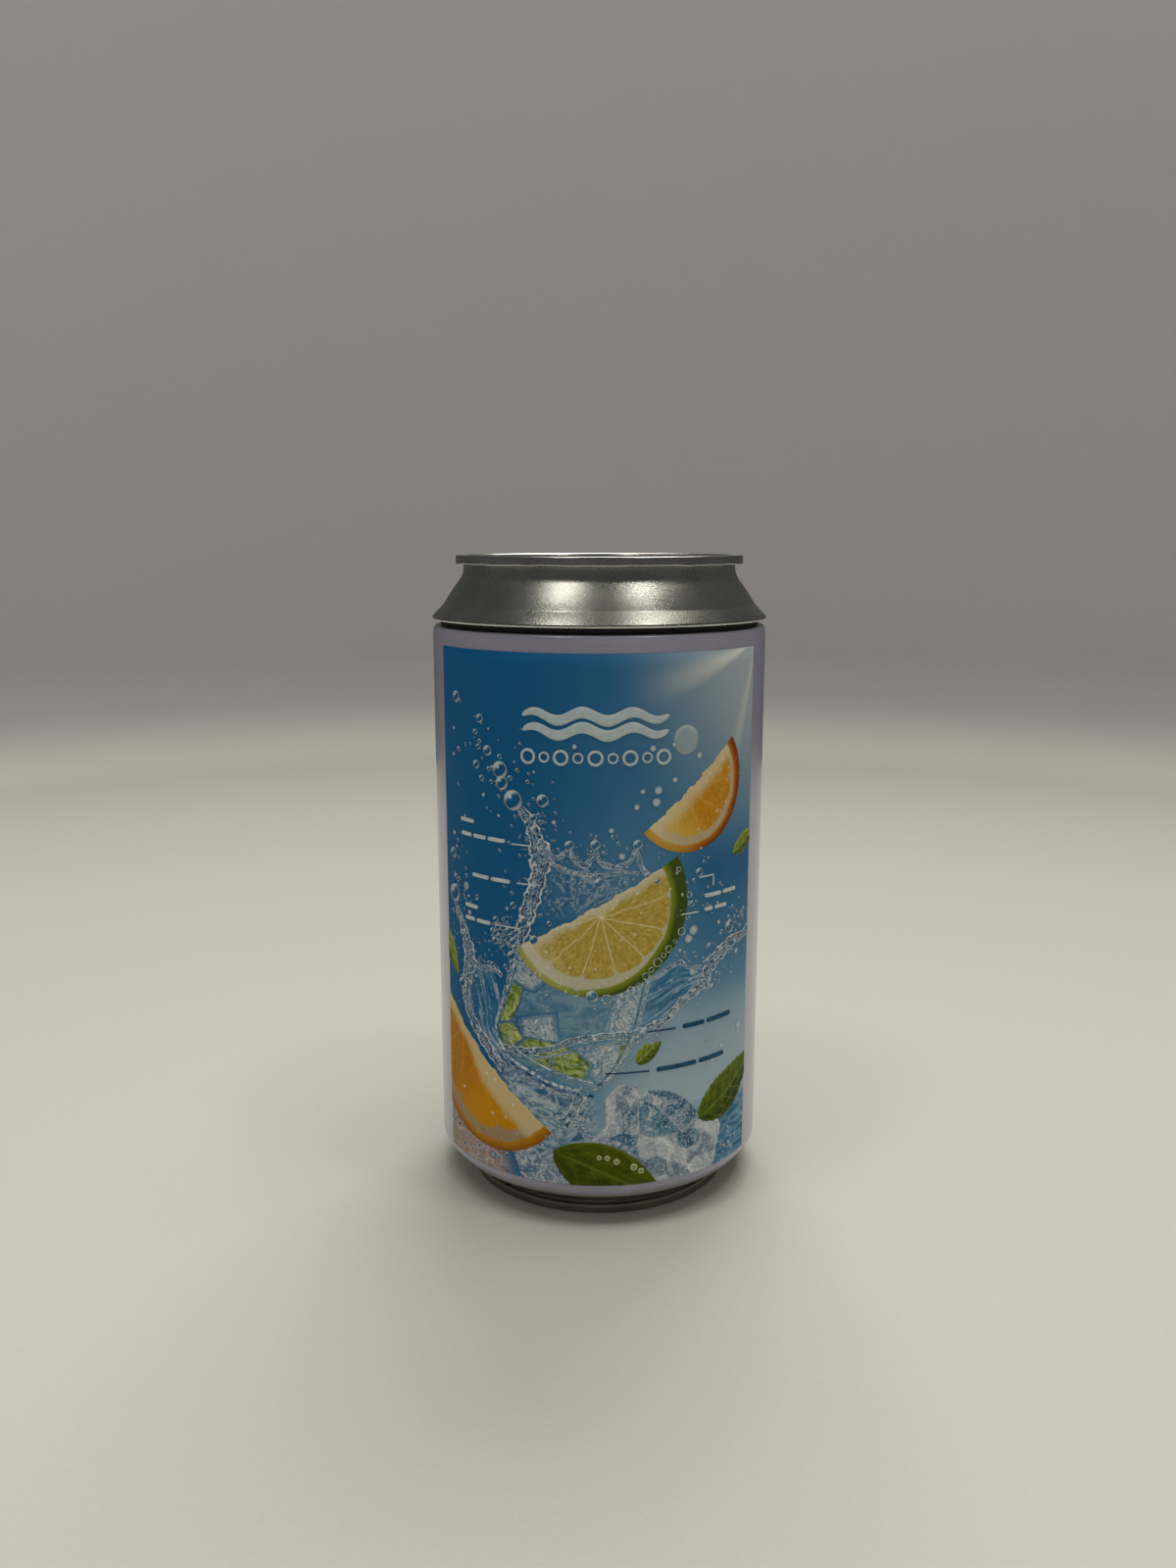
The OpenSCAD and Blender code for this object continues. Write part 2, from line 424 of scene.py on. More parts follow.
def topEndProfile():
    # a folded rim, a sloping chuck wall, a groove and a flat panel, closed below by straight lines
    size = lidShape
    rimR, inner = lidHigh[0], lidHigh[0] - size["seamW"]
    outside = rounded([(inner + 0.6, rimZ, 0), (rimR, rimZ - 0.02, 0.24), (rimR - 0.06, rimZ + 0.45, 0.2),
                       (rimR, canTop, 0.34), (inner, canTop, 0.7), (size["chuckLow"], grooveZ + 0.5, 0)])
    groove = rounded([(size["chuckLow"], grooveZ + 0.5, 0), (size["grooveOut"], grooveZ, 0.45),
                      (size["grooveIn"], grooveZ, 0.45), (size["panelR"], panelZ, 0.4),
                      (size["panelR"] - 1, panelZ, 0)])
    flat = np.linspace(size["panelR"] - 1.05, 0, 150)
    panel = np.stack([flat, np.full(150, panelZ)], 1)
    under = [(0, grooveZ - size["plate"]), (size["grooveOut"], grooveZ - size["plate"]),
             (inner + 0.6, rimZ - 0.3)]
    return np.concatenate([outside, groove[1:], panel, under])


def step(value, low, high):  # smooth step for arrays
    share = np.clip((value - low) / (high - low), 0, 1)
    return share * share * (3 - 2 * share)


lidPress = {"mouthY": -12.7, "mouthW": 12.5, "mouthL": 8, "score": 0.16, "scoreW": 0.022,
            "bead": 0.22, "beadAt": 0.78, "beadW": 0.05, "recess": 0.45,
            "frontY": -8.4, "frontW": 15.2, "frontL": 12.6, "backY": 8, "backW": 9.6, "backL": 11.4,
            "lipR": 27, "lipH": 0.35}


def lidRelief(angle, radius, height):
    # height of the panel: a keyhole-shaped recess round the tab and mouth, a scored oval and a raised bead
    size = lidPress
    x, y = radius * np.cos(angle), radius * np.sin(angle)
    onPanel = (np.abs(height - panelZ) < 0.01) & (radius < lidShape["panelR"] - 0.9)
    front = np.hypot(x / size["frontW"], (y - size["frontY"]) / size["frontL"])
    back = np.hypot(x / size["backW"], (y - size["backY"]) / size["backL"])
    recess = 1 - step(np.minimum(front, back), 0.94, 1.02)
    mouth = np.hypot(x / size["mouthW"], (y - size["mouthY"]) / size["mouthL"])
    score = np.exp(-((mouth - 1) / size["scoreW"]) ** 2)
    bead = np.exp(-((mouth - size["beadAt"]) / size["beadW"]) ** 2)
    relief = -size["recess"] * recess - size["score"] * score + size["bead"] * bead
    height = height + np.where(onPanel, relief, 0)
    # the folded lip is not quite even where it was rolled
    lip = np.exp(-((height - rimZ) / size["lipH"]) ** 2) * (radius > size["lipR"])
    wave = 0.05 * np.sin(9 * angle) + 0.035 * np.sin(23 * angle + 1) + 0.03 * np.sin(41 * angle)
    return radius, height + lip * wave


turned("topEnd", "top_end", topEndProfile(), plainTin, "tinplate", 360, lidRelief)


tabShape = {"holeY": 10.5, "holeW": 4.37, "holeL": 4.25, "squareness": 0.8, "web": 0.2, "webZ": 0.5,
            "island": 4.1, "islandW": 0.35, "islandDepth": 0.16, "dishR": 3.4, "dishEdge": 3.9, "dish": 0.1}


def pullTab():
    # the outline is a squarish oval; rays run from it to the finger hole, and along each ray the section is a
    # round curl at both ends with a thin web between; the web carries a pressed ring round the rivet
    size = tabShape
    halfW, halfL = tabHigh[0], (tabHigh[1] - tabLow[1]) / 2
    middleY, curl = (tabHigh[1] + tabLow[1]) / 2, (tabHigh[2] - tabLow[2]) / 2
    turn = np.arange(240) * 2 * np.pi / 240
    cosine, sine = np.cos(turn), np.sin(turn)
    outer = np.stack([halfW * np.sign(cosine) * np.abs(cosine) ** size["squareness"],
                      middleY + halfL * np.sign(sine) * np.abs(sine) ** size["squareness"]], 1)
    bearing = np.arctan2((outer[:, 1] - size["holeY"]) / size["holeL"], outer[:, 0] / size["holeW"])
    hole = np.stack([size["holeW"] * np.cos(bearing), size["holeY"] + size["holeL"] * np.sin(bearing)], 1)
    length = np.linalg.norm(hole - outer, axis=1)[:, None]
    lead = curl * (1 - np.cos(np.linspace(0, 0.8 * np.pi, 12)))[None]
    inner = lead[:, -1:] + (length - 2 * lead[:, -1:]) * np.linspace(0, 1, 62)[None, 1:-1]
    gone = np.concatenate([lead + 0 * length, inner, length - lead[:, ::-1]], 1)
    near = np.minimum(gone, length - gone)
    bead = np.sqrt(np.clip(curl ** 2 - (near - curl) ** 2, 0, None)) * (near < 2 * curl)
    web = size["web"] * (near > curl * 0.6)
    blendIn = step(near, 1.35 * curl, 2.3 * curl)
    centre = curl * (1 - blendIn) + size["webZ"] * blendIn
    half = np.maximum(bead, web)
    flat = outer[:, None] + (hole - outer)[:, None] * (gone / length)[..., None]
    away = np.hypot(flat[..., 0], flat[..., 1])
    ring = np.exp(-((away - size["island"]) / size["islandW"]) ** 2)
    groove = ring * step(flat[..., 1], -2.6, -1.4) * blendIn
    dish = (1 - step(away, size["dishR"], size["dishEdge"])) * blendIn
    centre = centre - size["islandDepth"] * groove - size["dish"] * dish
    top = np.concatenate([flat, (centre + half)[..., None]], -1)
    under = np.concatenate([flat, (centre - half)[..., None]], -1)[:, ::-1][:, 1:-1]
    points = np.concatenate([top, under], 1)
    points[..., 2] += tabLow[2]
    mesh = newMesh("pullTab", points, gridQuads(*points.shape[:2], wrapRows=True, wrapCols=True))
    finishMesh(mesh, 50)
    makeObject("pullTab", mesh, tabAluminium, "tab_aluminium", "tab")


pullTab()

rivetShape = {"bossR": 4.2, "bossTopR": 3.0, "stemR": 1.65, "headR": 2.7, "headH": 0.5, "rimR": 1.5,
              "dishR": 1.2, "dish": 0.22}


def rivetProfile():
    # a boss pressed up from the panel, a stem through the tab and a flattened head with a dished top
    size = rivetShape
    stem, head = size["stemR"], size["headR"]
    bossTop, top = tabLow[2], rivetHigh[2]
    return rounded([(0, panelZ - 0.7, 0), (size["bossR"], panelZ - 0.7, 0.1),
                    (size["bossR"] - 0.2, panelZ - 0.3, 0.4), (size["bossTopR"], bossTop, 0.5),
                    (stem, bossTop, 0.2), (stem, top - size["headH"] - 0.05, 0.1),
                    (head, top - size["headH"], 0.2), (head - 0.05, top, 0.24), (size["rimR"], top, 0.3),
                    (size["dishR"], top - size["dish"], 0.3), (0, top - size["dish"], 0)])


turned("rivetHead", "rivet", rivetProfile(), tabAluminium, "tab_aluminium", 96)


bodyShape = {"lowR": 31.35, "lowRound": 1.2, "shoulder": 1.4, "shoulderRound": 0.75, "mouthR": 30.9,
             "seam": 0.07, "seamW": 1.3}


def seamRidge(angle, radius, height):
    # the lap seam up the back: a low ridge along +Y, steep on one side, its height a difference of two steps
    away = (angle - math.pi / 2) * bodyHigh[0] / bodyShape["seamW"]
    ridge = bodyShape["seam"] * (step(away, -1, -0.77) - step(away, 0.15, 0.7))
    return radius + ridge * step(radius, 30, 32.9), height


def bodyProfile():
    # bottom disc, a rolled edge, the straight wall, a rolled shoulder and a top closed inside the mouth
    size = bodyShape
    radius, base, top = bodyHigh[0], bodyLow[2], bodyHigh[2]
    lowR, mouthR = size["lowR"], size["mouthR"]
    return rounded([(0, base, 0), (lowR, base, 0.25), (lowR + 0.55, base + 0.1, 0.3),
                    (radius, base + 1.5, size["lowRound"]), (radius, top - size["shoulder"], 0.5),
                    (radius - 0.25, top, size["shoulderRound"]), (mouthR, top, 0.4),
                    (mouthR - 0.3, top - 0.3, 0), (0, top - 0.3, 0)], 10)


turned("bodyShell", "body", bodyProfile(), lilac, "lilac_lacquer", 480, seamRidge)


def collarProfile():
    # a plain drum whose base reaches a little way into the body
    radius, base, top = collarHigh[0], collarLow[2] - 0.3, collarHigh[2]
    return rounded([(0, base, 0), (radius, base, 0), (radius, top, 0.2), (0, top, 0)])


# the collar's near-black colour is painted shade: the gap under the neck lies in deep shadow
turned("gapCollar", "collar", collarProfile(), collarInk, "dark_collar", 192)

footShape = {"lowR": 26.3, "bendR": 27.9, "bendH": 1.5, "lipR": 31.05, "lipH": 0.75, "edgeR": 31.4}


def footProfile():
    # a short wall, a bend, a taper that widens upwards, and a lip under the body
    size = footShape
    base, top, edge = footLow[2], footHigh[2], size["edgeR"]
    return rounded([(0, base, 0), (size["lowR"], base, 0.1), (size["lowR"] + 0.05, base + 1.0, 0.5),
                    (size["bendR"], base + size["bendH"], 0.8), (size["lipR"], top - size["lipH"], 0.25),
                    (edge - 0.05, top - 0.6, 0.15), (edge, top - 0.15, 0.12), (edge - 0.5, top, 0),
                    (0, top, 0)])


turned("footTaper", "foot", footProfile(), footTin, "tinplate")

baseShape = {"panelZ": 3.0, "panelR": 23, "grooveZ": 2.2, "grooveR": 24.2, "wallR": 25.0, "seamZ": 1.9,
             "plate": 0.4}


def baseProfile():
    # a recessed panel with a groove round it, a wall down to the ring that the can stands on, and up the
    # ring's outside and back over the panel
    size = baseShape
    panel, groove, seam, wall = size["panelZ"], size["grooveZ"], size["seamZ"], size["wallR"]
    return rounded([(0, panel, 0), (size["panelR"], panel, 0.6), (size["grooveR"], groove, 0.5),
                    (wall, groove, 0.3), (wall + 0.2, 0, 0.35), (baseHigh[0], 0, 0.4),
                    (baseHigh[0], seam, 0.3), (wall + 1.1, seam + 0.05, 0.2), (wall + 0.9, 3.3, 0),
                    (0, panel + size["plate"], 0)])


# the base end shares the foot's darkened tin, painted shade included
turned("baseEnd", "base_end", baseProfile(), footTin, "tinplate")
print("can made")


stageShape = {"floorR": 500, "bend": 60, "wallH": 560, "floorDark": tone(206, 205, 194),
              "floorLight": tone(213, 212, 201), "wallTone": tone(176, 173, 174)}


def makeStage():
    # a floor disc and a round wall, lathed about the can's axis; no surface mirrors the wall
    paint = Paint("stage", Roughness=0.9, Specular_IOR_Level=0.1)
    place = paint.coords()
    height = paint.split(place)[2]
    weave = paint.noise(place, 0.9, 3.0, 0.6)
    floor = paint.blend(weave, stageShape["floorDark"], stageShape["floorLight"])
    paint.set("Base Color", paint.blend(paint.ramp(height, 2, 34), floor, stageShape["wallTone"]))
    turn = np.linspace(-math.pi / 2, 0, 24)
    floorR, bendR = stageShape["floorR"], stageShape["bend"]
    bend = np.stack([floorR + bendR * np.cos(turn), bendR + bendR * np.sin(turn)], 1)
    wall = np.concatenate([bend, [(floorR + bendR, stageShape["wallH"])]])
    for name, profile in (("stageFloor", np.array([(0, 0), (floorR / 2, 0), (floorR, 0)])),
                          ("stageWall", wall)):
        mesh = lathe(name, profile - [0, 0.02], 128)
        smoothFaces(mesh)
        mesh.materials.append(paint.material)
        stage = bpy.data.objects.new(name, mesh)
        bpy.context.scene.collection.objects.link(stage)
        stage.visible_glossy = name == "stageFloor"


def makeLamp(name, power, size, azimuth, elevation, reach, colour, mirrored):
    # azimuth 0 stands in front of the can and grows towards +X; the lamp points at the can's middle
    data = bpy.data.lights.new(name, "AREA")
    data.energy, data.size, data.color, data.shape = power, size, colour, "DISK"
    lamp = bpy.data.objects.new(name, data)
    turn, rise = math.radians(azimuth), math.radians(elevation)
    away = np.array([math.sin(turn) * math.cos(rise), -math.cos(turn) * math.cos(rise), math.sin(rise)])
    lamp.location = tuple(away * reach + np.array([0, 0, 0.09]))
    lamp.rotation_euler = (math.radians(90) - rise, 0, turn)
    lamp.visible_glossy = mirrored
    bpy.context.scene.collection.objects.link(lamp)


def makeSky():
    world = bpy.data.worlds.new("world")
    bpy.context.scene.world = world
    world.use_nodes = True
    inputs = world.node_tree.nodes["Background"].inputs
    inputs["Color"].default_value = (0.8, 0.82, 0.85, 1)
    inputs["Strength"].default_value = 0.085


makeStage()
makeSky()
# power, size, azimuth, elevation, distance, colour, and whether metal mirrors the lamp
lamps = {"lampLeft": (0.62, 0.19, -46, 65, 0.9, (1.0, 0.99, 0.93), True),
         "lampRight": (0.5, 0.13, 57, 64, 0.9, (1.0, 0.99, 0.93), True),
         "lampAbove": (0.65, 0.42, 108, 68, 1.1, (1.0, 0.96, 0.88), True),
         "lampFill": (1.2, 1.0, 0, 30, 1.2, (0.98, 0.99, 1.0), False),
         "lampBack": (9, 0.8, 172, 52, 1.3, (1.0, 0.99, 0.95), True),
         "lampTop": (5.4, 0.9, 30, 84, 1.2, (1.0, 0.99, 0.96), False)}
for name, values in lamps.items():
    makeLamp(name, *values)
print("stage and light made")


pictureShift = 0.45     # the picture's middle, to the right of the camera's side of the can
layerStep = 0.012       # how far each layer of print stands above the one under it
white = ink(128, 134, 134)
brightWhite = ink(146, 149, 147)


def distance(paint, x, y):
    return paint.math("SQRT", x * x + y * y)


skyLook = {"deep": ink(7, 57, 89), "teal": ink(56, 88, 107), "haze": ink(108, 122, 129),
           "sun": ink(150, 149, 138), "sunAcross": 37, "sunUp": 112, "glowReach": 37, "glow": 0.46,
           "rays": ((0.30, 0.12, 0.36), (2.6, 0.7, 0.2)), "rayStart": 12, "rayEnd": 34}


def skyTone(paint):
    # deep blue on the left, teal across the middle, pale haze at the lower right and the sun's glow
    # at the top right; haze is a ramp across the label times a quadratic in how low the place is
    across, up = paint.uv("Picture")
    cloud = (paint.noise(paint.join(across, up), 0.05, 2.0) - 0.5) * 0.12
    fall = paint.ramp(up, 107, 9)
    haze = paint.ramp(across, -27, 16) * (0.25 + fall * 0.3 + fall * fall * 0.5) + cloud
    haze = haze - 0.26 * paint.ramp(across, 8, 24) * paint.ramp(up, 40, 54) * paint.ramp(up, 82, 68)
    sky = paint.blend(paint.ramp(haze, 0.0, 0.56), skyLook["deep"], skyLook["teal"])
    sky = paint.blend(paint.ramp(haze, 0.5, 0.95), sky, skyLook["haze"])
    right, above = across - skyLook["sunAcross"], up - skyLook["sunUp"]
    glow = paint.ramp(distance(paint, right, above * 0.85), skyLook["glowReach"], 3) * skyLook["glow"]
    # two broad rays: bands round lines of different slope from the corner, ending part of the way down
    for slope, width, power in skyLook["rays"]:
        away = paint.math("ABSOLUTE", above / right - slope)
        ray = 1 - paint.ramp(away, 0.1 * width, width * 1.5)
        reach = 1 - paint.ramp(distance(paint, right, above), skyLook["rayStart"], skyLook["rayEnd"])
        glow = glow + ray * reach * power
    return paint.blend(paint.clamped(glow), sky, skyLook["sun"])


def inkPaint(name):
    return Paint(name, Roughness=0.5, Specular_IOR_Level=0.07)


def backed(piece, height):
    # a wall from the printed face inwards, a little thicker than the height the face stands at
    wall = piece.modifiers.new("wall", "SOLIDIFY")
    wall.thickness, wall.offset = (height + 0.02) * mm, -1


def labelSheet():
    # a rectangle of (arc length, height) wrapped round the body: x = R sin(a), y = -R cos(a)
    turn = np.linspace(-labelHalf, labelHalf, 161) / sheetR
    height = np.linspace(labelBase, labelTop, 41)
    angle, level = np.meshgrid(turn, height, indexing="ij")
    points = np.stack([sheetR * np.sin(angle), -sheetR * np.cos(angle), level], -1)
    mesh = newMesh("labelSheet", points, gridQuads(161, 41))
    addMap(mesh, "Picture", np.stack([angle * sheetR - pictureShift, level], -1).reshape(-1, 2))
    smoothFaces(mesh)
    paint = inkPaint("label sky")
    across, up = paint.uv("Picture")
    paint.set("Base Color", skyTone(paint))
    paint.set("Roughness", 0.42 + 0.15 * paint.noise(paint.join(across, up), 0.4, 3.0))
    paint.bump(paint.noise(paint.join(across, up), 1.6, 3.0, 0.6), 0.004)
    backed(makeObject("labelSheet", mesh, paint, "label_print", "label"), labelSkin)


# flat shapes of print are kept as (points, local coordinates, faces), measured in millimetres on the label
def gridShape(across, up, x, y):
    points = np.stack([across, up], -1).reshape(-1, 2)
    quads = gridQuads(*across.shape)
    first, second, third = (points[quads[:, corner]] for corner in (0, 1, 2))
    side, rise = second - first, third - first
    if np.sum(side[:, 0] * rise[:, 1] - side[:, 1] * rise[:, 0]) < 0:
        quads = quads[:, ::-1]
    return points, np.stack([x, y], -1).reshape(-1, 2), quads


def onSlice(middle, turn, along, out):
    # label place of a point that lies so far along a slice's cut edge and so far out from it
    turn = math.radians(turn)
    return (middle[0] + along * math.cos(turn) + out * math.sin(turn),
            middle[1] + along * math.sin(turn) - out * math.cos(turn))


def wedgeShape(middle, turn, half, depth):
    # p runs along the cut edge from -1 to 1, q from that edge to the peel; the peel is half an ellipse:
    # middle + p * half along the cut + q * depth * sqrt(1 - p * p) across it
    p, q = np.meshgrid(np.sin(np.linspace(-np.pi / 2, np.pi / 2, 81)), np.linspace(0, 1, 31), indexing="ij")
    reach = q * np.sqrt(np.clip(1 - p * p, 0, 1))
    ragged = np.sin(17 * p) + 0.7 * np.sin(41 * p + 1) + 0.5 * np.sin(73 * p)
    ragged = 0.2 * ragged * (1 - q) * (1 - p * p)
    return gridShape(*onSlice(middle, turn, p * half, reach * depth + ragged), p, reach)


def leafShape(base, tip, width, bend=0.0, teeth=0.0, blunt=0.75):
    # p runs from the base to the tip along a bowed midrib, q across from -1 to 1; the half width is
    # width * sin(pi * p ^ 0.8) ^ blunt, with small teeth along the edge
    p, q = np.meshgrid(np.linspace(0, 1, 61), np.linspace(-1, 1, 17), indexing="ij")
    base, tip = np.array(base), np.array(tip)
    length = np.linalg.norm(tip - base)
    along = (tip - base) / length
    side = np.array([-along[1], along[0]])
    half = width * np.sin(np.pi * np.clip(p, 1e-6, 1 - 1e-6) ** 0.8) ** blunt
    half = half * (1 + teeth * (np.mod(p * 13, 1) - 0.5) * np.abs(q))
    out = q * half + bend * 4 * p * (1 - p)
    across = base[0] + along[0] * length * p + side[0] * out
    up = base[1] + along[1] * length * p + side[1] * out
    return gridShape(across, up, p, q)


def smoothPath(points, count):
    # a Catmull-Rom curve through the points
    points = np.asarray(points, dtype=float)
    padded = np.concatenate([[2 * points[0] - points[1]], points, [2 * points[-1] - points[-2]]])
    place = np.linspace(0, len(points) - 1 - 1e-6, count)
    index = place.astype(int)
    share = (place - index)[:, None]
    a, b, c, d = (padded[index + offset] for offset in range(4))
    return 0.5 * (2 * b + (c - a) * share + (2 * a - 5 * b + 4 * c - d) * share ** 2
                  + (3 * b - a - 3 * c + d) * share ** 3)


def ribbonShape(points, ragged, phase):
    # a band along a path of (across, up, half width); its width swells and shrinks with sums of sines
    rough = np.asarray(points, dtype=float)
    length = np.sum(np.linalg.norm(np.diff(rough[:, :2], axis=0), axis=1))
    count = int(max(12, length * 3.5))
    path = smoothPath(points, count)
    forward = np.gradient(path[:, :2], axis=0)
    forward = forward / np.linalg.norm(forward, axis=1)[:, None]
    gone = np.concatenate([[0], np.cumsum(np.linalg.norm(np.diff(path[:, :2], axis=0), axis=1))])
    swell = 1 + ragged * (np.sin(1.9 * gone + phase) + 0.6 * np.sin(4.3 * gone + 2 * phase + 1))
    half = np.abs(path[:, 2]) * swell
    q = np.linspace(-1, 1, 9)[None, :]
    lean = 1 + 0.25 * ragged * np.sin(3.1 * gone + phase)[:, None] * np.sign(q)
    across = path[:, 0, None] - forward[:, 1, None] * half[:, None] * q * lean
    up = path[:, 1, None] + forward[:, 0, None] * half[:, None] * q * lean
    return gridShape(across, up, gone[:, None] + 0 * q, q + 0 * across)


def patchShape(lower, upper):
    # a surface ruled between two curves: (1 - q) * lower(p) + q * upper(p)
    rows = 30 + int(2.2 * np.sum(np.linalg.norm(np.diff(lower, axis=0), axis=1)))
    low, high = smoothPath(lower, rows), smoothPath(upper, rows)
    q = np.linspace(0, 1, 31)[None, :, None]
    place = low[:, None] * (1 - q) + high[:, None] * q
    p = np.linspace(0, 1, rows)[:, None] + 0 * q[..., 0]
    return gridShape(place[..., 0], place[..., 1], p, q[..., 0] + 0 * p)


def patches(*pairs):
    return [patchShape(lower, upper) for lower, upper in pairs]


def discShapes(centres, radii, sides):
    # round discs: centre + radius * reach * (cos, sin); local coordinates run from -1 to 1 across each
    centres, radii = np.asarray(centres, dtype=float), np.asarray(radii, dtype=float)
    turn, reach = np.meshgrid(np.linspace(0, 2 * np.pi, sides + 1), np.array([0, 0.55, 1]), indexing="ij")
    x, y = (reach * np.cos(turn)).ravel(), (reach * np.sin(turn)).ravel()
    local = np.tile(np.stack([x, y], -1), (len(radii), 1))
    points = (centres[:, None, :] + radii[:, None, None] * np.stack([x, y], -1)[None]).reshape(-1, 2)
    quads = gridQuads(sides + 1, 3)[:, ::-1]
    quads = (quads[None] + (np.arange(len(radii)) * len(x))[:, None, None]).reshape(-1, 4)
    return points, local, quads


def barShape(start, end, half):
    # a straight bar with round ends: near an end the half width is sqrt(half^2 - away^2)
    start, end = np.array(start, dtype=float), np.array(end, dtype=float)
    length = np.linalg.norm(end - start)
    along = (end - start) / length
    inner = np.clip((1 - np.cos(np.linspace(0, np.pi, 41))) / 2 * length, 0, length)
    away = np.clip(np.maximum(half - inner, half - (length - inner)), 0, half)
    reach = np.sqrt(np.clip(half * half - away * away, 0, None))
    q = np.linspace(-1, 1, 5)[None, :]
    out = reach[:, None] * q
    across = start[0] + along[0] * inner[:, None] - along[1] * out
    up = start[1] + along[1] * inner[:, None] + along[0] * out
    return gridShape(across, up, inner[:, None] + 0 * q, q + 0 * across)


def printed(name, shapes, layer, paint, spread=0.04):
    # joins flat shapes, trims them at the label's edges, wraps them round the can and gives them a wall;
    # layer says how many steps they stand above the sheet, and each next shape stands spread steps higher
    points, local, faces, lifts, offset = [], [], [], [], 0
    for index, (flat, own, quads) in enumerate(shapes):
        points.append(flat)
        local.append(own)
        faces.append(quads + offset)
        lifts.append(np.full(len(flat), layer + spread * index))
        offset += len(flat)
    points, local, lifts = np.concatenate(points), np.concatenate(local), np.concatenate(lifts)
    mesh = bpy.data.meshes.new(name)
    mesh.from_pydata(np.column_stack([points, lifts]).tolist(), [], np.concatenate(faces).tolist())
    addMap(mesh, "Local", local)
    addMap(mesh, "Picture", points)
    shape = bmesh.new()
    shape.from_mesh(mesh)
    weld(shape, 1e-4)
    margin = 0.05
    edges = (((-labelHalf - pictureShift + margin, 0, 0), (-1, 0, 0)),
             ((labelHalf - pictureShift - margin, 0, 0), (1, 0, 0)),
             ((0, labelBase + margin, 0), (0, -1, 0)), ((0, labelTop - margin, 0), (0, 1, 0)))
    for place, normal in edges:
        whole = list(shape.verts) + list(shape.edges) + list(shape.faces)
        bmesh.ops.bisect_plane(shape, geom=whole, dist=1e-5, plane_co=place, plane_no=normal,
                               clear_outer=True)
    shape.to_mesh(mesh)
    shape.free()
    flat = np.empty(len(mesh.vertices) * 3)
    mesh.vertices.foreach_get("co", flat)
    flat = flat.reshape(-1, 3)
    angle, radius = (flat[:, 0] + pictureShift) / sheetR, sheetR + flat[:, 2] * layerStep
    wrapped = np.stack([radius * np.sin(angle), -radius * np.cos(angle), flat[:, 1]], -1) * mm
    mesh.vertices.foreach_set("co", wrapped.ravel())
    smoothFaces(mesh)
    backed(makeObject(name, mesh, paint, "label_print", "label"), flat[:, 2].max() * layerStep)


def citrusInk(name, look):
    # half a slice: wedges of flesh round a core, then pith, then peel; local x, y lie in a half disc.
    # sunny is where along the cut the warm light starts and is full; the edges are shares of the radius
    paint = inkPaint(name)
    x, y = paint.uv("Local")
    flat = paint.join(x, y)
    rough = paint.noise(flat, 5.0, 4.0, 0.6) - 0.5
    radius = distance(paint, x, y) + rough * 0.05
    right, out = x - look["core"][0], y - look["core"][1]
    reach = distance(paint, right, out)
    angle = paint.math("ARCTAN2", out, right) * (look["slices"] / math.pi) + look["offset"] + rough * 0.12
    inSlice = paint.math("ABSOLUTE", paint.math("FRACT", angle) - 0.5) * 2
    fibres = paint.noise(paint.join(angle * 3.2, reach * 5.5), 2.6, 3.0, 0.65, 0.4)
    flesh = paint.blend(paint.ramp(fibres, 0.3, 0.72), look["dark"], look["light"])
    glint = paint.ramp(paint.noise(paint.join(angle * 9, reach * 16), 1.6, 2.0, 0.6), 0.62, 0.78)
    flesh = paint.blend(glint * 0.45, flesh, look["glint"])
    middle = paint.ramp(inSlice, 0.1, 0.95)
    flesh = paint.blend(middle * look["rimGlow"], flesh, look["light"])
    start, end = look["sunny"]
    flesh = paint.blend(paint.ramp(x + rough * 0.3, start, end) * look["sunPower"], flesh, look["sunTone"])
    skin = 1 - paint.ramp((1 - inSlice) * reach, 0.006, 0.03)
    corner = inSlice ** 7
    fleshEdge = look["fleshEdge"] - corner * 0.07
    inFlesh = 1 - paint.ramp(radius - fleshEdge, -0.012, 0.014)
    tint = paint.blend(skin * look["skin"], flesh, look["skinTone"])
    pith = paint.blend(paint.noise(flat, 14.0, 2.0), look["pith"], look["pithShade"])
    tint = paint.blend(inFlesh, pith, tint)
    # the cut edge catches the light and is a little rough
    inward = y - paint.ramp(x, -0.2, 0.3) * look["edgeGrow"] + rough * 0.12
    edge = 1 - paint.ramp(inward, look["edge"] * 0.3, look["edge"] + 0.02)
    tint = paint.blend(edge * look["edgePower"], tint, look["edgeTone"])
    tint = paint.blend(paint.ramp(x, -0.5, -0.98) * look["tip"], tint, look["edgeTone"])
    peelEdge = look["peelEdge"] - paint.ramp(x, -0.9, 0.95) * look["peelGrow"]
    zest = paint.ramp(radius - peelEdge, -0.012, 0.012)
    depth = paint.ramp(radius - peelEdge, 0.0, 0.1)
    pores = paint.noise(flat, 26.0, 2.0, 0.6)
    peel = paint.blend(depth, look["zest"], paint.blend(pores, look["peel"], look["peelLight"]))
    peel = paint.blend(paint.ramp(x, -0.35, -0.95) * look["tip"], peel, look["sunTone"])
    tint = paint.blend(zest, tint, peel)
    spots = paint.cells(flat, look["dewScale"])
    chance = paint.split(paint.cells(flat, look["dewScale"], output=1))[0]
    dew = (1 - paint.ramp(spots, 0.1, 0.24)) * paint.ramp(chance, look["dewShare"], look["dewShare"] + 0.02)
    tint = paint.blend(dew * 0.75, tint, ink(150, 148, 136))
    paint.set("Base Color", tint)
    return paint


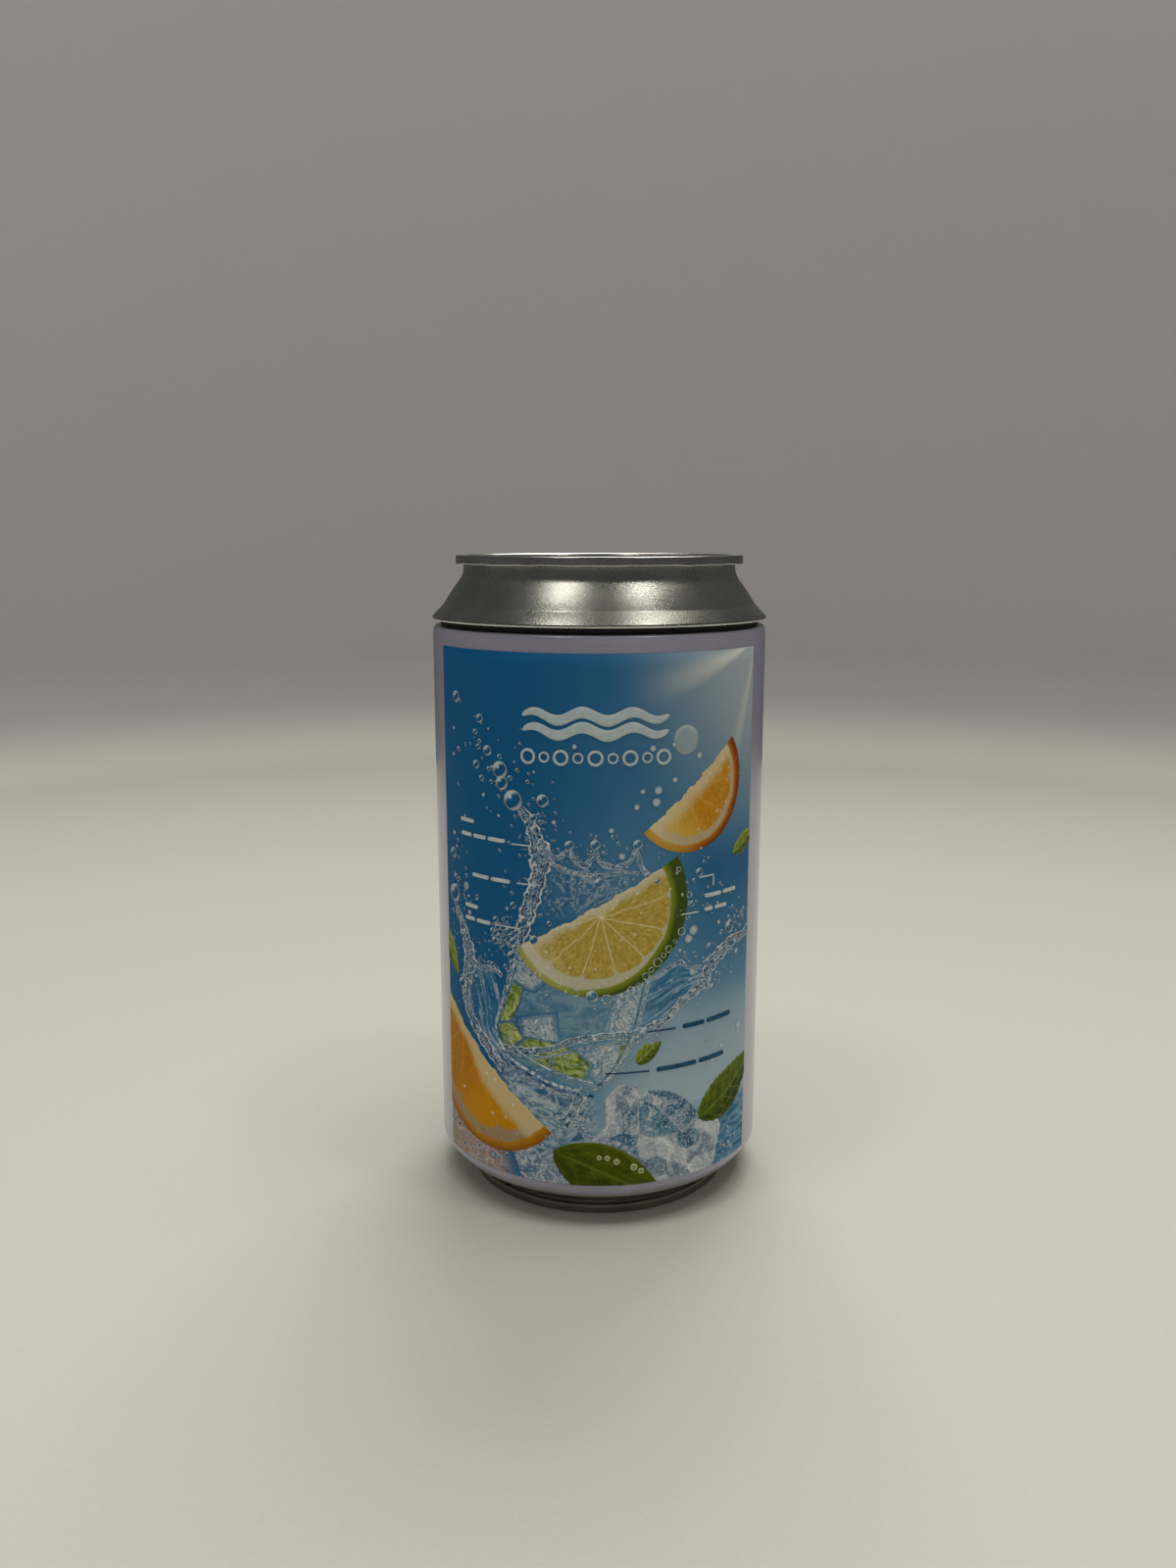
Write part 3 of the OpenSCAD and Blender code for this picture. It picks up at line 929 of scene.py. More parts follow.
def leafInk(name, look):
    # midrib along the middle, slanting side veins, one half lighter than the other
    paint = inkPaint(name)
    p, q = paint.uv("Local")
    side = paint.math("ABSOLUTE", q)
    mottle = paint.noise(paint.join(p * 5, q * 2), 1.6, 4.0, 0.6)
    tint = paint.blend(paint.ramp(mottle + q * look["lean"], 0.25, 0.8), look["dark"], look["light"])
    vein = paint.math("ABSOLUTE", paint.math("FRACT", p * look["veins"] - side * 1.3) - 0.5)
    tint = paint.blend((1 - paint.ramp(vein, 0.02, 0.13)) * look["veinPower"], tint, look["veinTone"])
    tint = paint.blend(paint.ramp(vein, 0.3, 0.5) * 0.25, tint, look["dark"])
    tint = paint.blend((1 - paint.ramp(side, 0.02, 0.09)) * 0.55, tint, look["veinTone"])
    tint = paint.blend(paint.ramp(side, 0.86, 1.0) * 0.4, tint, look["veinTone"])
    paint.set("Base Color", tint)
    return paint


def liquidLines(paint, place, bands, curl, sharp=0.12):
    # bright and dark lines along the contours of a smooth noise, the way moving water bends the light
    field = paint.noise(place, 1.0, 1.6, 0.5, curl)
    wave = paint.math("FRACT", field * bands)
    return (paint.band(wave, 0.06, 0.06 + sharp, 0.3, 0.3 + sharp),
            paint.band(wave, 0.5, 0.5 + sharp, 0.74, 0.74 + sharp))


def splashInk(name, look):
    # water flung into the air: curling bright and dark lines, beads of light, edges that end in a bright rim
    paint = inkPaint(name)
    gone, q = paint.uv("Local")
    across, up = paint.uv("Picture")
    side = paint.math("ABSOLUTE", q)
    bright, dark = liquidLines(paint, paint.join(gone * look["along"], q * look["over"]), look["bands"],
                               look["curl"])
    beads = paint.noise(paint.join(across, up), look["beads"], 3.0, 0.6, 1.2)
    sky = skyTone(paint)
    tint = paint.blend(look["body"], sky, look["bodyTone"])
    tint = paint.blend(dark * look["dark"], tint, look["darkTone"])
    tint = paint.blend(bright * look["glint"], tint, white)
    tint = paint.blend(paint.ramp(beads, 0.56, 0.66) * 0.8, tint, brightWhite)
    inner = paint.band(side, 0.5, 0.62, 0.68, 0.78)
    tint = paint.blend(inner * look["dark"] * paint.ramp(beads, 0.62, 0.45), tint, look["darkTone"])
    rim = paint.band(side, 0.68, 0.8, 0.9, 1.0)
    tint = paint.blend(rim * look["rim"] * paint.ramp(beads, 0.3, 0.55), tint, brightWhite)
    paint.set("Base Color", paint.blend(paint.ramp(side, look["fade"], 1.0), tint, sky))
    return paint


bubbleLook = {"shade": ink(8, 34, 52), "shadePower": 0.45, "ring": ink(104, 118, 124), "ringPower": 0.55}


def bubbleInk():
    # a drop: dark ring inside, bright crescents at the upper left and lower right, sky in the middle
    paint = inkPaint("bubble")
    x, y = paint.uv("Local")
    radius = distance(paint, x, y)
    sky = skyTone(paint)
    shaded = paint.ramp(radius, 0.25, 0.75) * bubbleLook["shadePower"]
    tint = paint.blend(shaded, sky, bubbleLook["shade"])
    upper = paint.ramp(y * 0.8 - x * 0.6, 0.15, 0.75) * paint.ramp(radius, 0.45, 0.7)
    lower = paint.ramp(x * 0.6 - y * 0.8, 0.35, 0.8) * paint.ramp(radius, 0.55, 0.8)
    tint = paint.blend(paint.clamped(upper + lower * 0.8), tint, white)
    ring = paint.ramp(radius, 0.78, 0.9) * bubbleLook["ringPower"]
    tint = paint.blend(ring, tint, bubbleLook["ring"])
    spot = 1 - paint.ramp(distance(paint, x + 0.3, y - 0.35), 0.12, 0.3)
    paint.set("Base Color", paint.blend(spot, tint, white))
    return paint


def mistInk():
    # a drop out of focus: pale in the middle, fading into the sky
    paint = inkPaint("mist drop")
    x, y = paint.uv("Local")
    sky = skyTone(paint)
    fade = paint.ramp(distance(paint, x, y), 1.0, 0.35)
    paint.set("Base Color", paint.blend(fade * 0.75, sky, ink(132, 138, 136)))
    return paint


def glowDiscInk():
    # a round patch of sunlight with a slightly brighter rim
    paint = inkPaint("sun spot")
    x, y = paint.uv("Local")
    radius = distance(paint, x, y)
    fill = (0.3 + 0.12 * paint.ramp(radius, 0.6, 0.92)) * (1 - paint.ramp(radius, 0.93, 1.0))
    paint.set("Base Color", paint.blend(fill, skyTone(paint), ink(140, 141, 128)))
    return paint


def leafGlowInk():
    # a drop on the leaf, out of focus: olive inside with a paler ring
    paint = inkPaint("leaf drop")
    x, y = paint.uv("Local")
    ring = paint.ramp(distance(paint, x, y), 0.35, 0.8)
    paint.set("Base Color", paint.blend(ring, ink(88, 92, 48), ink(122, 124, 96)))
    return paint


def plainInk(name, first, second, scale=0.8):
    # two tones mixed by a fine grain
    paint = inkPaint(name)
    across, up = paint.uv("Picture")
    grain = paint.ramp(paint.noise(paint.join(across, up), scale, 3.0), 0.4, 0.6)
    paint.set("Base Color", paint.blend(grain, first, second))
    return paint


def waterInk(name, look):
    # a sheet of water: lines over a see-through blue, glints, and soft edges; streak draws the lines out
    # along the sheet, and stretch only changes how wide and tall they are on the label
    paint = inkPaint(name)
    p, q = paint.uv("Local")
    across, up = paint.uv("Picture")
    sky = skyTone(paint)
    bent = paint.join(p * look["along"], q * look["over"])
    waves = paint.noise(bent, 1.0, 5.0, 0.6, look["curl"])
    if "streak" in look:
        flow = paint.join(p * look["streak"][0] + 0.1 * waves, q * look["streak"][1])
    else:
        wide, tall = look.get("stretch", (1, 1))
        flow = paint.join(across * (look["fine"] * wide), up * (look["fine"] * tall), p * 2)
    bright, dark = liquidLines(paint, flow, look["bands"], 0.6)
    fine = paint.noise(paint.join(across, up), 1.1, 4.0, 0.65, 0.8)
    tint = paint.blend(look["body"], sky, look["tone"])
    tint = paint.blend(paint.ramp(waves, 0.5, 0.36) * look["dark"], tint, look["darkTone"])
    tint = paint.blend(paint.ramp(waves, 0.52, 0.68) * look["light"], tint, look["lightTone"])
    tint = paint.blend(dark * look["dark"] * 0.7, tint, look["darkTone"])
    tint = paint.blend(bright * look["glint"], tint, look["lightTone"])
    tint = paint.blend(paint.ramp(fine, 0.58, 0.7) * look["glint"], tint, brightWhite)
    soft = look["soft"]     # how far each edge fades: lower, upper, start, end
    inside = paint.band(q, -0.01, soft[0], 1 - soft[1], 1.01)
    inside = inside * paint.ramp(p, -0.01, soft[2]) * (1 - paint.ramp(p, 1 - soft[3], 1.01))
    paint.set("Base Color", paint.blend(inside, sky, tint))
    return paint


def iceInk(name, look):
    # cloudy ice: patches of frost and dark blue hollows, thin bright cracks and points of light
    paint = inkPaint(name)
    across, up = paint.uv("Picture")
    place = paint.join(across, up)
    p, q = paint.uv("Local")
    cloud = paint.noise(place, look["scale"], 6.0, 0.68, 1.1)
    facet = paint.split(paint.cells(place, look["scale"] * 1.1, output=1))[0]
    mixed = cloud * 0.8 + facet * 0.2
    tint = paint.blend(paint.ramp(mixed, 0.4, 0.56), look["deep"], look["frost"])
    tint = paint.blend(paint.ramp(mixed, 0.36, 0.26) * 0.8, tint, ink(16, 44, 66))
    tint = paint.blend(paint.ramp(mixed, 0.56, 0.66) * 0.8, tint, brightWhite)
    bright, dark = liquidLines(paint, paint.scaled(place, look["scale"] * 2.6), 6, 1.0, 0.08)
    tint = paint.blend(bright * look["cracks"], tint, brightWhite)
    tint = paint.blend(dark * look["cracks"], tint, look["deep"])
    sparkle = paint.noise(place, 2.2, 4.0, 0.7, 0.5)
    tint = paint.blend(paint.ramp(sparkle, 0.58, 0.66) * look["sparkle"], tint, ink(160, 161, 158))
    edge = paint.math("MINIMUM", paint.math("MINIMUM", p, 1 - p), paint.math("MINIMUM", q, 1 - q))
    tint = paint.blend((1 - paint.ramp(edge, 0.0, 0.08)) * look["rim"], tint, brightWhite)
    paint.set("Base Color", tint)
    return paint


labelSheet()
print("label sheet made")

printed("sunSpot", [discShapes([(16.5, 94.5)], [2.75], 48)], 1, glowDiscInk())

seaLook = {"along": 5.0, "over": 10.0, "curl": 1.0, "fine": 0.2, "bands": 6, "body": 0.94,
           "tone": ink(42, 82, 106), "stretch": (0.35, 2.0), "dark": 0.8, "darkTone": ink(6, 54, 86),
           "light": 0.6, "lightTone": ink(104, 118, 128), "glint": 0.4, "soft": (0.0, 0.3, 0.0, 0.0)}
printed("sea", patches(([(-37, 9), (0, 9), (37, 9)], [(-37, 24), (0, 25.5), (37, 24)])), 1,
        waterInk("sea", seaLook))

foamLook = {"along": 4.0, "over": 5.0, "curl": 1.4, "fine": 0.3, "bands": 7, "body": 0.9,
            "tone": ink(96, 106, 116), "dark": 0.8, "darkTone": ink(34, 62, 84), "light": 0.8,
            "lightTone": ink(130, 132, 136), "glint": 0.8, "soft": (0.0, 0.3, 0.2, 0.2)}
printed("foam", patches(([(-31, 9), (-16, 9), (2, 9)], [(-28, 17), (-14, 20.5), (0, 20)])), 2,
        waterInk("foam", foamLook))

blushLook = {"along": 3.0, "over": 5.0, "curl": 1.4, "fine": 0.3, "bands": 6, "body": 1.0,
             "tone": ink(106, 93, 86), "dark": 0.45, "darkTone": ink(92, 66, 50), "light": 0.7,
             "lightTone": ink(126, 124, 130), "stretch": (0.7, 1.4), "glint": 0.55,
             "soft": (0.0, 0.3, 0.0, 0.3)}
printed("blushWater", patches(([(-37, 9), (-26, 9), (-15, 9)], [(-37, 21), (-26, 17), (-17, 14)])), 3,
        waterInk("blush water", blushLook))

leftSheet = [(-29.3, 54.3), (-30.4, 46), (-29, 40), (-24.5, 35), (-18, 30)]
leftSheetIn = [(-27.3, 51.5), (-21.5, 49.6), (-19.6, 44), (-20, 38), (-14, 32.5)]
rightLow = [(3.5, 38.2), (8.2, 39.3), (12.3, 41.6), (16.5, 44.9), (21.1, 47.4), (23, 50.2)]
rightHigh = [(4.0, 47.0), (8.2, 49.8), (12, 51.3), (15.7, 52.4), (19.5, 50.9), (23.2, 50.9)]

sheetLook = {"along": 1.5, "over": 6.0, "curl": 0.8, "streak": (1.2, 4.5), "bands": 6, "body": 0.55,
             "tone": ink(42, 84, 108), "dark": 0.6, "darkTone": ink(5, 46, 78), "light": 0.8,
             "lightTone": ink(110, 122, 130), "glint": 0.6, "soft": (0.04, 0.04, 0.1, 0.1)}
printed("waterSheets", patches((leftSheet, leftSheetIn), (rightLow, rightHigh)), 2,
        waterInk("water sheet", sheetLook))

mistLook = {"along": 3.0, "over": 3.0, "curl": 1.2, "fine": 0.4, "bands": 5, "body": 0.25,
            "tone": ink(60, 86, 102), "dark": 0.35, "darkTone": ink(8, 46, 74), "light": 0.4,
            "lightTone": ink(112, 122, 126), "glint": 0.5, "soft": (0.3, 0.3, 0.25, 0.25)}
printed("spray", patches(([(-12.5, 60), (-4, 62), (6, 64)], [(-10.5, 74), (0, 72.5), (9, 71)])), 2,
        waterInk("spray", mistLook))

glassLeft = [(-15.6, 57), (-16.8, 50.3), (-18.9, 44.5), (-20.6, 39.5), (-20.3, 36.3), (-14, 31.6),
             (-7.7, 29.4), (-1.2, 28.5)]
glassRight = [(9.6, 50.8), (8.8, 47.5), (8, 44), (7, 40), (5.4, 36.5), (4, 34), (2.4, 31.6), (0.7, 29.6)]

glassLook = {"along": 2.0, "over": 3.0, "curl": 0.8, "fine": 0.12, "bands": 5, "body": 0.45,
             "tone": ink(80, 104, 114), "stretch": (0.8, 1.6), "dark": 0.4, "darkTone": ink(10, 58, 88),
             "light": 0.45, "lightTone": ink(104, 119, 122), "glint": 0.28, "soft": (0.04, 0.05, 0.1, 0.06)}
printed("glassBody", patches((glassLeft, glassRight)), 3, waterInk("glass", glassLook))

frostLook = {"along": 3.0, "over": 3.0, "curl": 1.0, "fine": 0.45, "bands": 7, "body": 0.75,
             "tone": ink(116, 123, 123), "dark": 0.7, "darkTone": ink(36, 72, 96), "light": 0.7,
             "lightTone": ink(136, 139, 138), "glint": 0.9, "soft": (0.25, 0.25, 0.2, 0.2)}
frostPatches = patches(
    ([(3.4, 49.5), (2.0, 44.5), (-0.2, 38.8)], [(9.6, 50.4), (8.4, 45), (6.0, 38.8)]),
    ([(-16.2, 56), (-17.4, 52), (-18.6, 48.5)], [(-7.6, 53.5), (-9.4, 49.6), (-12.2, 46.8)]),
    ([(-16.4, 41.8), (-15.4, 38.2), (-13.2, 35)], [(-7.6, 44), (-7.2, 40), (-6.4, 36.2)]),
    ([(-6.4, 35.5), (-2.6, 32), (0.2, 29)], [(4.2, 39.4), (5.2, 35.8), (5.2, 32.2)]))
printed("glassFrost", frostPatches, 4, waterInk("glass frost", frostLook))

# the glass's edges as paths of (across, up, half width), and a shade inside three of them
glassPaths = [[(-15.2, 58, 0.1), (-16.9, 50.3, 0.13), (-19.0, 44.5, 0.12), (-20.7, 39.5, 0.14),
               (-20.4, 36.4, 0.2)],
              [(-20.5, 36.8, 0.2), (-17.4, 33.2, 0.28), (-12.4, 31.0, 0.3), (-7.6, 29.2, 0.3),
               (-1.2, 28.2, 0.24)],
              [(-18.6, 37.6, 0.08), (-15.4, 34.9, 0.12), (-11.2, 33.0, 0.14), (-6.6, 31.4, 0.14),
               (-1.0, 30.2, 0.1)],
              [(9.5, 51.0, 0.06), (8.6, 46.5, 0.09), (7.6, 42, 0.09), (6.2, 38.2, 0.1), (3.6, 33.2, 0.12),
               (0.4, 29.2, 0.16)]]
shadePaths = [[(across + 0.75, up + 0.3, half * 0.95) for across, up, half in glassPaths[0]],
              [(across + 0.35, up - 0.75, half * 1.1) for across, up, half in glassPaths[1]],
              [(across - 0.6, up + 0.2, half) for across, up, half in glassPaths[3]]]
printed("glassShade", [ribbonShape(path, 0.1, 2) for path in shadePaths], 10,
        plainInk("glass shade", ink(12, 48, 74), ink(70, 96, 112), 0.7))
printed("glassLines", [ribbonShape(path, 0.12, 1) for path in glassPaths], 11,
        plainInk("glass line", ink(58, 88, 104), ink(142, 146, 145), 0.9))

zestLook = {"along": 3.0, "over": 4.0, "curl": 1.0, "fine": 0.3, "bands": 5, "body": 0.95,
            "tone": ink(94, 106, 44), "dark": 0.8, "darkTone": ink(36, 56, 10), "light": 0.8,
            "lightTone": ink(134, 138, 100), "glint": 0.4, "soft": (0.12, 0.15, 0.12, 0.12)}
limeBits = patches(
    ([(-16.6, 49.2), (-19.4, 44), (-20.7, 39.6)], [(-14.3, 48), (-15.4, 43.8), (-17.4, 40.2)]),
    ([(-20.6, 39.8), (-19.4, 36.2), (-15.4, 34.6)], [(-17, 40.8), (-14.4, 38.2), (-11.6, 36)]),
    ([(-17.6, 35.2), (-10, 32.4), (-2.2, 30.2)], [(-14.2, 38.2), (-6.4, 37.6), (-0.6, 33.8)]),
    ([(4.2, 38), (3.4, 34.4), (1.4, 31)], [(6.9, 39.4), (5.8, 35.8), (3.6, 32.4)]))
printed("limeBits", limeBits, 5, waterInk("lime bits", zestLook))
print("water and glass made")

# facets of four cubes
backCube = patches(([(-2.4, 19.5), (2, 21), (6.8, 23)], [(0.2, 25.4), (4, 29.6), (7.6, 28.6)]))
coldFacets = patches(([(4.6, 22.4), (10, 18.6), (16.6, 18.4)], [(7.4, 27.4), (12.2, 27.8), (17.4, 24.6)]),
                     ([(16.2, 15.4), (18.4, 14.8), (21, 15.6)], [(15.4, 18.4), (18, 19), (21.4, 18)]))
cubeFacets = patches(([(-3.6, 16), (2, 15.6), (8, 15)], [(1.6, 21.6), (5, 23.2), (7.6, 26.8)]),
                     ([(7.6, 26.6), (11.4, 24.4), (16.8, 18.2)], [(9.4, 28.2), (15.6, 26.6), (21.6, 21)]))
frontCube = patches(([(2.4, 9), (12, 9), (22, 9)], [(6.2, 19.6), (15, 19.4), (24.6, 20.6)]),
                    ([(21.8, 9), (23.4, 9), (24.8, 10)], [(22.6, 20.8), (24.8, 20.4), (26.8, 17)]))

paleLook = {"scale": 0.26, "deep": ink(64, 80, 94), "frost": ink(122, 127, 130), "sparkle": 0.8,
            "rim": 0.2, "cracks": 0.4}
printed("iceBack", backCube, 2, iceInk("ice back", paleLook))

coldLook = {"scale": 0.26, "deep": ink(8, 54, 76), "frost": ink(66, 94, 106), "sparkle": 0.6, "rim": 0.2,
            "cracks": 0.4}
printed("iceBlue", coldFacets, 4, iceInk("ice blue", coldLook))

cubeLook = {"scale": 0.24, "deep": ink(28, 64, 86), "frost": ink(106, 113, 121), "sparkle": 0.8,
            "rim": 0.35, "cracks": 0.4}
printed("iceCube", cubeFacets, 5, iceInk("ice cube", cubeLook))
printed("iceFront", frontCube, 3, iceInk("ice front", paleLook))

poolLook = {"along": 4.0, "over": 5.0, "curl": 1.0, "fine": 0.26, "bands": 6, "body": 0.75,
            "tone": ink(98, 112, 118), "stretch": (0.8, 1.6), "dark": 0.8, "darkTone": ink(14, 58, 84),
            "light": 0.8, "lightTone": ink(124, 130, 134), "glint": 0.6, "soft": (0.1, 0.2, 0.2, 0.2)}
printed("pool", patches(([(-21, 20), (-10, 16.4), (2, 16)], [(-22, 34), (-10, 31.2), (1, 27)])), 3,
        waterInk("pool", poolLook))
print("ice made")

# water flung round the glass, each ribbon a path of (across, up, half width)
column = [(-17.0, 83.4, 0.7), (-15.2, 82.4, 0.75), (-13.1, 79.9, 1.1), (-11.8, 77, 1.5),
          (-10.8, 73.4, 2.3), (-11.2, 69.6, 1.7), (-12.4, 65.5, 1.7), (-14.0, 60.5, 1.6),
          (-15.4, 56.4, 1.2), (-16.8, 50.3, 0.8), (-18.9, 44.5, 0.6), (-20.6, 39.5, 0.5)]
leftArm = [(-33.1, 62.0, 0.6), (-31.8, 59.5, 0.8), (-30.2, 57.2, 1.1), (-29.0, 54.5, 1.5),
           (-27.8, 51.0, 1.9), (-28.8, 47.0, 1.6), (-29.4, 43.0, 1.2), (-27.4, 38.8, 1.2),
           (-23.4, 34.6, 1.3), (-19, 30.6, 1.1)]
rightArm = [(7.8, 39.4, 1.3), (12.3, 41.6, 0.9), (16.5, 44.9, 0.8), (21.2, 47.6, 1.2), (22.6, 50.4, 1.5),
            (25.6, 52.6, 1.5), (29.6, 54.3, 1.2), (32.6, 54.4, 0.9), (36.2, 55.2, 1.1)]
baseBand = [(-20.4, 35.6, 0.3), (-17.4, 32.2, 0.45), (-12, 29.8, 0.5), (-7.0, 28.2, 0.45),
            (-1.4, 27.4, 0.4)]
stem = [(-2.4, 28.8, 1.2), (-3.8, 26.6, 1.0), (-5.0, 23.6, 0.9), (-6.6, 21.6, 1.4)]
swirl = [(-20, 35.4, 0.4), (-15, 35.0, 0.9), (-9, 36.4, 0.6), (-4.4, 38.4, 0.7), (2, 39.4, 0.7),
         (7.6, 39.2, 1.2)]
drips = [(21.6, 48.4, 0.9), (22.2, 46.6, 0.6), (21.9, 45.4, 0.35)]
sideSpray = [(-27.3, 50.9, 0.6), (-24.3, 49.7, 0.5), (-21.4, 50.6, 0.7), (-19.2, 49.1, 0.4)]

streamLook = {"along": 0.5, "over": 1.3, "curl": 0.7, "bands": 7, "beads": 0.8, "body": 0.35,
              "bodyTone": ink(66, 86, 100), "dark": 0.85, "darkTone": ink(4, 30, 50), "glint": 0.9,
              "rim": 0.9, "fade": 0.93}
streams = (column, leftArm, rightArm, baseBand, stem, swirl, drips, sideSpray)
printed("splash", [ribbonShape(path, 0.13, index) for index, path in enumerate(streams)], 6,
        splashInk("splash", streamLook))

# thin threads: arches over the glass, the rims of the sheet and the glass, and a lower swirl
arches = [(-10.8, 76.4, 0.45), (-9.2, 74.0, 0.5), (-7.2, 73.3, 0.55), (-5.4, 75.0, 0.35),
          (-4.4, 73.0, 0.5), (-2.2, 72.1, 0.55), (-0.7, 74.9, 0.3), (0.4, 72.6, 0.5), (3.2, 71.7, 0.55),
          (5.6, 72.6, 0.5), (6.9, 75.0, 0.3), (7.6, 72.2, 0.5), (9, 70.0, 0.5), (10.6, 68.8, 0.35)]
archesLow = [(-10.4, 74.2, 0.3), (-7.6, 71.6, 0.5), (-3.4, 70.4, 0.45), (1.2, 70.2, 0.4),
             (4.4, 70.8, 0.35), (7.4, 70.4, 0.3)]
sheetRim = [(2.6, 46.6, 0.4), (6, 48, 0.35), (9, 49.8, 0.45), (12, 51.2, 0.4), (15.7, 52.6, 0.45),
            (17.4, 51.4, 0.35), (20.8, 50.8, 0.45)]
glassRim = [(9.4, 49.6, 0.35), (8.4, 45, 0.3), (7.2, 40.4, 0.35), (5.2, 36, 0.35), (3.2, 32.6, 0.4),
            (0.8, 29.8, 0.4), (-1.4, 28.8, 0.3)]
swirlLow = [(-16, 34.2, 0.3), (-10, 34.6, 0.35), (-4, 36.6, 0.3), (2, 37.8, 0.3), (7, 37.6, 0.25)]

threadLook = {"along": 0.35, "over": 1.3, "curl": 0.4, "bands": 5, "beads": 1.2, "body": 0.4,
              "bodyTone": ink(74, 94, 106), "dark": 0.7, "darkTone": ink(6, 34, 54), "glint": 0.95,
              "rim": 0.8, "fade": 0.92}
threads = (arches, archesLow, sheetRim, glassRim, swirlLow)
printed("threads", [ribbonShape(path, 0.14, index + 3) for index, path in enumerate(threads)], 7,
        splashInk("thread", threadLook))
print("splash made")

orangeLook = {"core": (-0.15, -0.05), "slices": 5, "offset": 0.1, "dark": ink(118, 74, 2),
              "light": ink(136, 98, 26), "sunny": (-0.1, -0.6), "sunPower": 0.75,
              "sunTone": ink(140, 116, 48), "edgeGrow": 0.0, "glint": ink(150, 130, 84), "rimGlow": 0.3,
              "skin": 0.5, "skinTone": ink(146, 124, 76), "fleshEdge": 0.76, "pith": ink(128, 116, 92),
              "pithShade": ink(116, 100, 74), "edge": 0.27, "edgePower": 0.8,
              "edgeTone": ink(140, 130, 100), "peelEdge": 0.89, "peelGrow": 0.05,
              "zest": ink(122, 72, 16), "peel": ink(76, 32, 1), "peelLight": ink(96, 46, 5),
              "dewScale": 9.0, "dewShare": 0.62, "tip": 0.6}
limeLook = {"core": (0.0, 0.12), "slices": 6, "offset": 0.5, "dark": ink(104, 87, 27),
            "light": ink(132, 114, 56), "sunny": (0.9, 1.0), "sunPower": 0.0,
            "sunTone": ink(128, 124, 70), "edgeGrow": 0.0, "glint": ink(148, 136, 92), "rimGlow": 0.15,
            "skin": 0.9, "skinTone": ink(146, 140, 110), "fleshEdge": 0.8, "pith": ink(130, 128, 110),
            "pithShade": ink(118, 114, 92), "edge": 0.11, "edgePower": 0.7,
            "edgeTone": ink(138, 134, 116), "peelEdge": 0.935, "peelGrow": 0.14, "zest": ink(84, 90, 18),
            "peel": ink(22, 36, 12), "peelLight": ink(50, 62, 16), "dewScale": 13.0, "dewShare": 0.6,
            "tip": 0.55}
juicyLook = {"core": (-0.3, 0.02), "slices": 5, "offset": 0.3, "dark": ink(108, 62, 0),
             "light": ink(126, 84, 4), "sunny": (-0.15, 0.4), "sunPower": 0.7, "sunTone": ink(134, 94, 0),
             "edgeGrow": 0.13, "glint": ink(138, 106, 30), "rimGlow": 0.3, "skin": 0.5,
             "skinTone": ink(134, 106, 46), "fleshEdge": 0.79, "pith": ink(114, 98, 76),
             "pithShade": ink(96, 78, 54), "edge": 0.16, "edgePower": 0.85, "edgeTone": ink(138, 126, 92),
             "peelEdge": 0.9, "peelGrow": 0.0, "zest": ink(120, 82, 10), "peel": ink(88, 46, 2),
             "peelLight": ink(104, 64, 8), "dewScale": 10.0, "dewShare": 0.72, "tip": 0.0}
# each slice's middle, turn in degrees, half the length of its cut, and its depth from cut to peel
fruitPlaces = {"orangeRight": ((18.1, 85.95), 39.5, 12.8, 12.2),
               "limeMiddle": ((-0.5, 64.15), 29.7, 17.85, 16.9),
               "orangeLeft": ((-25.2, 32.8), -39.2, 21.0, 18.0)}
printed("orangeRight", [wedgeShape(*fruitPlaces["orangeRight"])], 6, citrusInk("orange print", orangeLook))
printed("limeMiddle", [wedgeShape(*fruitPlaces["limeMiddle"])], 9, citrusInk("lime print", limeLook))
printed("orangeLeft", [wedgeShape(*fruitPlaces["orangeLeft"])], 9,
        citrusInk("juicy orange print", juicyLook))

# drops strung along the lime's peel, each ringed
middle, turn, half, depth = fruitPlaces["limeMiddle"]
beadTurn = np.radians([8, 27, 41, 50, 57, 63, 68, 74, 80, 85, 92, 97, 104, 112, 119, 131, 143, 158])
beadSize = [0.5, 0.6, 0.45, 0.8, 0.4, 0.7, 0.5, 0.9, 0.55, 0.75, 0.45, 0.8, 0.6, 0.95, 0.5, 0.7, 0.45, 0.6]
beadReach = 0.99 - 0.05 * np.cos(5 * beadTurn)
beadPlace = onSlice(middle, turn, half * beadReach * np.cos(beadTurn), depth * beadReach * np.sin(beadTurn))
circle, reach = np.meshgrid(np.linspace(0, 2 * np.pi, 25), np.array([0.78, 1.0]), indexing="ij")
ringX, ringY = reach * np.cos(circle), reach * np.sin(circle)
printed("peelRings", [gridShape(across + size * ringX, up + size * ringY, ringX, ringY)
                      for across, up, size in zip(*beadPlace, beadSize)], 11,
        plainInk("peel ring", ink(86, 98, 70), ink(140, 146, 138), 1.6))
print("fruit made")

mintLook = {"dark": ink(18, 32, 3), "light": ink(66, 76, 10), "lean": 0.15, "veins": 7, "veinPower": 0.3,
            "veinTone": ink(86, 96, 36)}
printed("mintRight", [leafShape((20.6, 20.4), (37.4, 29.2), 4.4, -0.6, 0.12)], 8,
        leafInk("mint print", mintLook))

leafLook = {"dark": ink(28, 36, 1), "light": ink(58, 66, 6), "lean": 0.1, "veins": 5, "veinPower": 0.15,
            "veinTone": ink(70, 78, 22)}
printed("leafBottom", [leafShape((-8.6, 15.9), (13.5, 4.6), 5.6, 0.9, 0.0, 0.8)], 10,
        leafInk("dark leaf print", leafLook))

